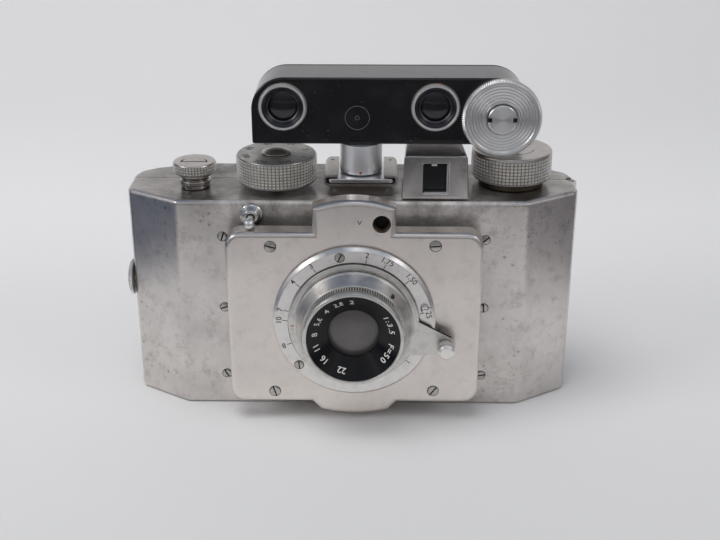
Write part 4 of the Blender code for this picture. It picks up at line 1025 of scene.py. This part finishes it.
def supply_knob():
    low, high = box_of("supply_knob")
    centre = centre_of("supply_knob", "z")
    head, neck, foot = radius_of("supply_knob"), 3.8, high.z - 3.4
    profile = [(0.0, low.z), (1.8, low.z), (1.8, 64.0), (neck, 64.0)]
    profile += after(foot, [(neck, -1.7), (neck + 1.1, -0.7), (neck + 1.1, 0.0), (head - 0.6, 0.0),
                            (head - 0.3, 0.3), (head - 0.8, 0.45)])
    profile += after(high.z, [(head - 0.8, -0.5), (head - 0.15, -0.45), (head - 0.4, 0.0), (0.0, 0.0)])
    knob = object_from("supply_knob_look", turned(softened(profile, 0.12), centre, segments=96))
    flat_side = centre[1] - 1.4
    outer = circle((centre[0], flat_side), 4.0, 32, 0.0, 180.0)
    cut(knob, prism(outer, high.z - 0.5, high.z + 1.0))
    show_as("supply_knob", knob, WIND_METAL)
    inner = circle((centre[0], flat_side + 0.75), 3.4, 32, 0.0, 180.0)
    detail("supply_key", prism(inner, high.z - 0.6, high.z - 0.04), WIND_METAL, "supply_knob")
    # a dark layer in the gap round the key: painted shade
    detail("supply_key_gap_shade", prism(outer, high.z - 0.55, high.z - 0.2), DARK, "supply_knob")
    knob_grip("supply_grip", centre, head, foot + 0.45, high.z - 0.45, 44, 3, "supply_knob")
    low, high = box_of("supply_collar")
    outer = radius_of("supply_collar")
    ring = [(3.95, low.z), (outer - 0.3, low.z), (outer - 0.3, low.z + 1.0), (outer, low.z + 1.3),
            (outer, high.z - 0.2), (outer - 0.2, high.z), (3.95, high.z)]
    lathe("supply_collar", ring, centre, "z", WIND_METAL, 0.15, segments=64)
    rows = ((centre[0] - 1.2, low.z + 1.1, 20.0),)
    screws("collar_screw", rows, centre[1] - outer + 0.35, 0.7, 0.25, "camera_body", 0.2)


def viewfinder():
    housing = cad_copy("viewfinder_housing", 0.6)
    show_as("viewfinder_housing", housing, FINDER_METAL)
    low, high = box_of("viewfinder_front_lens")
    rear = box_of("viewfinder_eyepiece")[1].y
    edge = 0.28
    around = rectangle((low.x - edge, low.z - edge), (high.x + edge, high.z + edge))
    lining = object_from("viewfinder_lining", prism(around, back(2.2), rear + 0.5, "y"))
    cut(lining, prism(rectangle((low.x, low.z), (high.x, high.z)), back(0.0), rear + 2.0, "y"))
    finish(lining, MATT, "camera_body")
    # bright metal only on the right and bottom walls of the window: painted light, while the top and left
    # stay black
    edges = [box((high.x, back(1.0), low.z - edge), (high.x + edge, back(2.1), high.z)),
             box((low.x, back(1.0), low.z - edge), (high.x, back(2.1), low.z))]
    detail("finder_window_lit_edges", together(edges), POST_METAL, "camera_body")
    # a small white patch high in the window: painted highlight
    middle = (low.x + high.x) / 2 - 0.4
    glint = box((middle - 0.75, back(1.9), high.z - 0.6), (middle + 0.75, back(2.0), high.z - 0.1))
    detail("finder_painted_glint", glint, WHITE, "camera_body")


def accessory_shoe():
    low, high = box_of("accessory_shoe")
    middle, half, thick = (low.x + high.x) / 2, (high.x - low.x) / 2, 0.65
    floor, top = 69.4, high.z
    lip = 4.0
    outside = [(half - lip, top, 0), (half, top, 1.3), (half, floor, 1.3)]
    inside = [(half - thick, floor + thick, 0.7), (half - thick, top - thick, 0.7),
              (half - lip, top - thick, 0)]
    mirrored = [[(-x, z, radius) for x, z, radius in line[::-1]] for line in (outside, inside)]
    outline = [(middle + x, z, radius) for x, z, radius in outside + mirrored[0] + mirrored[1] + inside]
    shoe = object_from("accessory_shoe_look", prism(rounded(outline, 6), low.y, high.y, "y"))
    for side in (-1, 1):
        corner = (middle + side * half, high.y)
        radius = 2.2
        arc = [(corner[0] - side * radius * (1 - math.sin(math.radians(turn))),
                corner[1] - radius * (1 - math.cos(math.radians(turn)))) for turn in range(0, 91, 10)]
        notch = arc + [(corner[0] + side, corner[1] - radius), (corner[0] + side, corner[1] + 1.0),
                       (corner[0] - side * radius, corner[1] + 1.0)]
        cut(shoe, prism(notch, floor - 1.0, top + 1.0))
    soften(shoe, 0.12, 40.0, 2)
    show_as("accessory_shoe", shoe, SHOE_METAL)
    block = box((low.x + 1.6, low.y + 0.6, BODY_TOP + 0.02), (high.x - 1.6, high.y - 0.6, floor))
    finish(soften(object_from("shoe_base", block), 0.3), SHOE_DARK, "camera_body")
    rivet = [(0.0, 0.6), (1.0, 0.6), (1.0, 0.1), (0.6, -0.3), (0.0, -0.35)]
    heads = [moved(turned(rivet, (0, 0), segments=24),
                   on_front(middle + side * 7.6, 68.0, low.y + 0.9) @ Matrix.Rotation(math.pi, 4, "X"))
             for side in (-1, 1)]
    detail("shoe_rivets", together(heads), STEEL, "camera_body")
    dots = [disc((middle + side * 8.6, high.y - 3.2), 0.45, top - 0.02, top + 0.015, segments=20)
            for side in (-1, 1)]
    detail("shoe_spots", together(dots), DARK, "camera_body")


# ---------------------------------------------------------------- rangefinder

def window_ring(side):
    """Toothed silver ring round one window, with a black sleeve and a thin retaining ring inside it."""
    node = "rf_ring_" + side
    centre = centre_of(node, "y")
    front, rim = box_of(node)[0].y, radius_of(node)
    rear = back(11.0)
    ring = after(front, [(5.95, 1.2), (5.95, 0.12), (6.05, 0.0), (6.5, 0.0), (6.6, 0.05, 0.1),
                         (rim, 0.4, 0.45), (rim, 1.75, 0.45), (5.95, 1.8)])
    lathe(node, ring, centre, "y", RF_RING_METAL, teeth=88, degrees=25.0)
    # a dark ring under the teeth: painted shade in the valleys
    valleys = after(front, [(6.4, 0.18), (6.7, 0.2), (rim - 0.17, 0.55), (rim - 0.17, 1.7), (6.4, 1.7)])
    lathe(f"rf_teeth_{side}", valleys, centre, "y", VALLEY_SHADE, body="rangefinder", segments=88)
    sleeve = [(5.93, front + 0.3), (5.2, front + 0.7), (4.4, front + 1.6), (4.3, front + 1.75), (4.3, rear),
              (5.3, rear), (5.3, front + 1.9), (5.93, front + 1.85)]
    lathe(f"rf_sleeve_{side}", sleeve, centre, "y", SLEEVE, 0.1, body="rangefinder")
    inner = after(front, [(4.25, 1.75), (4.3, 1.5), (4.6, 1.3), (4.65, 1.75)])
    lathe(f"rf_retainer_{side}", inner, centre, "y", RETAINER, body="rangefinder")
    low, high = box_of("rf_glass_" + side)
    glass = [(4.2 * step / 12, low.y - 0.35 + 0.6 * (step / 12) ** 2) for step in range(13)]
    glass += [(4.2, high.y), (0.0, high.y)]
    lathe("rf_glass_" + side, glass, centre, "y", GLASS, segments=64)
    return centre


def rangefinder():
    low, high = box_of("rf_housing")
    corner = 9.6

    def outline(shrink=0.0):
        left, right, head = low.x + shrink, high.x - shrink, high.z - shrink
        foot, radius = low.z + shrink, corner - shrink
        corners = [(left, foot, 0.6), (right, foot, 0.6), (right, head, radius), (left, head, radius)]
        return rounded(corners, 20)

    housing = object_from("rf_housing_look", pillow(outline(), low.y, high.y, (0.55, 0.0), "y", 4))
    cut(housing, prism(outline(1.5), low.y + 1.5, high.y + 1.0, "y"))
    for side in ("left", "right"):
        cut(housing, disc(window_ring(side), 5.35, low.y - 1.0, low.y + 3.0, "y", 64))
    wheel = centre_of("rf_wheel", "y")
    cut(housing, disc(wheel, 1.6, low.y - 1.0, low.y + 3.0, "y", 32))
    show_as("rf_housing", housing, BLACK)
    cover_low, cover_high = box_of("rf_cover")
    plate = soften(object_from("rf_cover_look", prism(outline(), cover_low.y, cover_high.y, "y")), 0.4, 40.0)
    eye = centre_of("rf_eyepiece", "y")
    cut(plate, disc(eye, 3.3, cover_low.y - 1.0, cover_high.y + 1.0, "y", 32))
    show_as("rf_cover", plate, BLACK)
    tube = after(back(0.0), [(0.0, 22.0), (3.0, 22.0), (3.0, 25.0), (4.6, 25.1), (4.6, 26.1), (2.6, 26.1),
                             (2.1, 25.4), (0.0, 25.4)])
    lathe("rf_eyepiece", tube, eye, "y", POST_METAL, 0.12, segments=64)
    spot = on_front((low.x + high.x) / 2 - 9.3, 88.7, low.y - 0.005)
    rings = [turned([(r, 0.0), (r + 0.12, 0.0), (r + 0.12, 0.02), (r, 0.02)], (0, 0), segments=64)
             for r in (3.4, 0.5)]
    mark = moved(together(rings), spot)
    detail("rf_mark", mark, SILVER_INK, "rangefinder", flat=True)
    right = middle_of("rf_ring_right")
    detail("rf_red_spot", disc((right.x + 1.2, high.z - 1.6), 0.35, low.y - 0.03, low.y + 0.1, "y", 16), RED,
           "rangefinder")


def rangefinder_wheel():
    centre, radius = centre_of("rf_wheel", "y"), radius_of("rf_wheel")
    front = box_of("rf_wheel")[0].y
    profile = after(front, [(0.0, 0.3), (4.6, 0.3), (4.75, 0.12)])
    first, spacing = 5.15, 0.87
    for number in range(6):
        reach = first + number * spacing
        profile += after(front, [(reach - 0.15, 0.05), (reach, 0.5), (reach + 0.3, 0.12)])
    profile += after(front, [(9.9, 0.03), (10.6, 0.03), (10.7, 0.08, 0.1), (radius, 0.5, 0.45),
                             (radius, 1.8, 0.45), (radius - 0.5, 2.2), (1.2, 2.2)])
    profile += [(1.2, back(12.0)), (2.6, back(12.0)), (2.6, back(14.0)), (0.0, back(14.0))]
    lathe("rf_wheel", profile, centre, "y", WHEEL_METAL, teeth=112, degrees=24.0)
    nut_low = box_of("rf_wheel_nut")[0].y
    nut = after(nut_low, [(0.0, 0.0), (3.95, 0.0), (4.2, 0.2), (4.2, 0.8), (0.0, 0.8)])
    head = object_from("rf_wheel_nut_look", turned(softened(nut, 0.1), centre, "y", segments=96))
    floors = []

    def notch(side, near, far, half, front, rear):
        x = sorted((centre[0] + side * near, centre[0] + side * far))
        return box((x[0], nut_low + front, centre[1] - half), (x[1], nut_low + rear, centre[1] + half))

    for side in (-1, 1):
        cut(head, notch(side, 2.95, 4.3, 0.65, -1.0, 0.6))
        floors.append(notch(side, 2.97, 4.15, 0.62, 0.45, 0.62))
    show_as("rf_wheel_nut", head, WHEEL_METAL)
    # a dark ring under the teeth: painted shade in the valleys
    valleys = after(front, [(10.5, 0.2), (10.8, 0.25), (radius - 0.17, 0.65), (radius - 0.17, 1.7),
                            (10.5, 1.7)])
    lathe("rf_wheel_teeth", valleys, centre, "y", VALLEY_SHADE, body="rf_wheel", segments=112)
    gap = after(front, [(4.1, 0.31), (4.1, 0.24), (4.36, 0.24), (4.36, 0.31)])
    floors.append(turned(gap, centre, "y", segments=64))
    # dark floors in the nut's notches and a dark ring in the gap round it: painted shade
    detail("rf_nut_gap_shade", together(floors), DARK, "rf_wheel")


def rangefinder_foot():
    low, high = box_of("rf_post")
    centre, radius = centre_of("rf_post", "z"), radius_of("rf_post")
    profile = [(0.0, low.z), (radius - 0.25, low.z), (radius, low.z + 0.25), (radius, high.z), (0.0, high.z)]
    lathe("rf_post", profile, centre, "z", TURNED_CHROME, 0.1)
    spot = moved(disc((0, 0), 0.4, -0.04, 0.04, segments=16), on_front(centre[0] - 0.1, low.z + 0.9, low.y))
    detail("post_spot", spot, RED, "rangefinder")
    low, high = box_of("rf_foot")
    corners = [(low.x, low.y, 1.2), (high.x, low.y, 1.2), (high.x, high.y, 1.2), (low.x, high.y, 1.2)]
    piece_for("rf_foot", prism(rounded(corners), low.z, high.z), POST_METAL, soft=0.25)


# ---------------------------------------------------------------- stage

def reflector(name, corners, color):
    """A card that only shows in reflections, the way a studio's dark surroundings do."""
    mesh = bmesh.new()
    mesh.faces.new([mesh.verts.new(corner) for corner in corners])
    card = object_from(name, mesh)
    made = Finish(name + "_paper", color, 0.9)
    made.tint(made.ramp(made.noise(4.0, 3.0), 0.4, 0.7, 0.0, 0.4), tuple(c * 0.7 for c in color))
    made.shader.inputs["Emission Color"].default_value = (*color, 1.0)
    made.shader.inputs["Emission Strength"].default_value = 0.5
    card.data.materials.append(made.material)
    card.visible_camera = card.visible_diffuse = card.visible_shadow = card.visible_transmission = False


def stage():
    """Pale floor that curves up into a backdrop, a soft world, and lights."""
    floor = bmesh.new()
    radius, far, half, top = 400.0, 700.0, 1500.0, 1500.0
    line = [(-900.0, 0.0), (far - radius, 0.0)]
    line += circle((far - radius, radius), radius, 14, -84.0, 84.0)
    line.append((far, top))
    rows = [[floor.verts.new((x, y, z)) for x in (-half, half)] for y, z in line]
    for first, second in zip(rows, rows[1:]):
        floor.faces.new((first[0], first[1], second[1], second[0]))
    paper = Finish("backdrop_paper", (0.87, 0.855, 0.845), 0.8)
    paper.tint(paper.ramp(paper.noise(3.0, 3.0), 0.4, 0.7, 0.0, 0.2), (0.80, 0.79, 0.78))
    # the floor is painted darker towards the front, where the camera is: painted shade
    paper.tint(paper.ramp(paper.along("Y"), 0.15, -0.2), (0.63, 0.62, 0.61))
    sweep = object_from("sweep", floor)
    sweep.data.materials.append(paper.material)
    sweep.data.shade_smooth()
    near = rectangle((-500, -600), (500, -196))
    reflector("dark_front", [(x, y, 1.0) for x, y in near], (0.05, 0.05, 0.055))
    reflector("blue_left", [(-150.0, y, z) for y, z in rectangle((-260, 2), (60, 130))], (0.045, 0.06, 0.10))
    reflector("grey_right", [(150.0, y, z) for y, z in rectangle((-260, 1), (60, 160))], (0.125, 0.12, 0.13))

    world = bpy.data.worlds.new("studio")
    bpy.context.scene.world = world
    world.use_nodes = True
    tree = world.node_tree
    sky = tree.nodes["Background"]
    coords = tree.nodes.new("ShaderNodeTexCoord").outputs["Generated"]
    split = tree.nodes.new("ShaderNodeSeparateXYZ")
    tree.links.new(coords, split.inputs[0])
    shade = tree.nodes.new("ShaderNodeValToRGB")
    steps = [(0.0, (0.10, 0.11, 0.13)), (0.5, (0.27, 0.28, 0.30)), (0.66, (0.92, 0.91, 0.92)),
             (0.80, (0.80, 0.82, 0.87)), (0.90, (0.30, 0.37, 0.50)), (1.0, (0.20, 0.27, 0.40))]
    while len(shade.color_ramp.elements) < len(steps):
        shade.color_ramp.elements.new(0.5)
    for element, (position, color) in zip(shade.color_ramp.elements, steps):
        element.position = position
        element.color = (*color, 1.0)
    height = tree.nodes.new("ShaderNodeMapRange")
    height.inputs["From Min"].default_value = -1.0
    tree.links.new(split.outputs["Z"], height.inputs["Value"])
    tree.links.new(height.outputs["Result"], shade.inputs["Fac"])
    tree.links.new(shade.outputs["Color"], sky.inputs["Color"])
    sky.inputs["Strength"].default_value = 0.52

    def area_light(name, position, target, size, power, mirrored=True):
        lamp = bpy.data.lights.new(name, "AREA")
        lamp.shape = "RECTANGLE"
        lamp.size, lamp.size_y = size[0] * MM, size[1] * MM
        lamp.energy = power
        holder = bpy.data.objects.new(name, lamp)
        holder.visible_glossy = mirrored
        bpy.context.scene.collection.objects.link(holder)
        holder.location = Vector(position) * MM
        aim = Vector(target) - Vector(position)
        holder.rotation_euler = aim.to_track_quat("-Z", "Y").to_euler()

    area_light("softbox_above", (-200.0, -150.0, 900.0), (0.0, 0.0, 30.0), (600.0, 500.0), 4.0, False)
    area_light("lamp_middle", (0.0, -400.0, 900.0), (0.0, 0.0, 30.0), (110.0, 300.0), 0.25)
    area_light("lamp_right", (260.0, -400.0, 900.0), (0.0, 0.0, 30.0), (60.0, 300.0), 0.12)
    area_light("softbox_left", (-750.0, -350.0, 420.0), (0.0, 0.0, 40.0), (300.0, 500.0), 1.9)
    area_light("softbox_right", (700.0, -350.0, 500.0), (0.0, 0.0, 40.0), (300.0, 400.0), 1.0)
    bpy.context.scene.view_settings.view_transform = "Standard"


def camera():
    eye = Vector((7.19, -333.16, 183.74))
    view = Vector((-0.01372608, 0.91537211, -0.40237481))
    lens = bpy.data.cameras.new("camera")
    lens.sensor_width = 36.0
    lens.lens = 58.63
    holder = bpy.data.objects.new("camera", lens)
    bpy.context.scene.collection.objects.link(holder)
    holder.location = eye * MM
    holder.rotation_euler = view.to_track_quat("-Z", "Y").to_euler()
    bpy.context.scene.camera = holder


def main():
    dress_cad_nodes()
    body()
    cover()
    body_fittings()
    lens_board()
    bellows()
    focusing_scale()
    focusing_lever()
    lens()
    speed_dial()
    wind_knob()
    supply_knob()
    viewfinder()
    accessory_shoe()
    rangefinder()
    rangefinder_wheel()
    rangefinder_foot()
    stage()
    camera()


main()
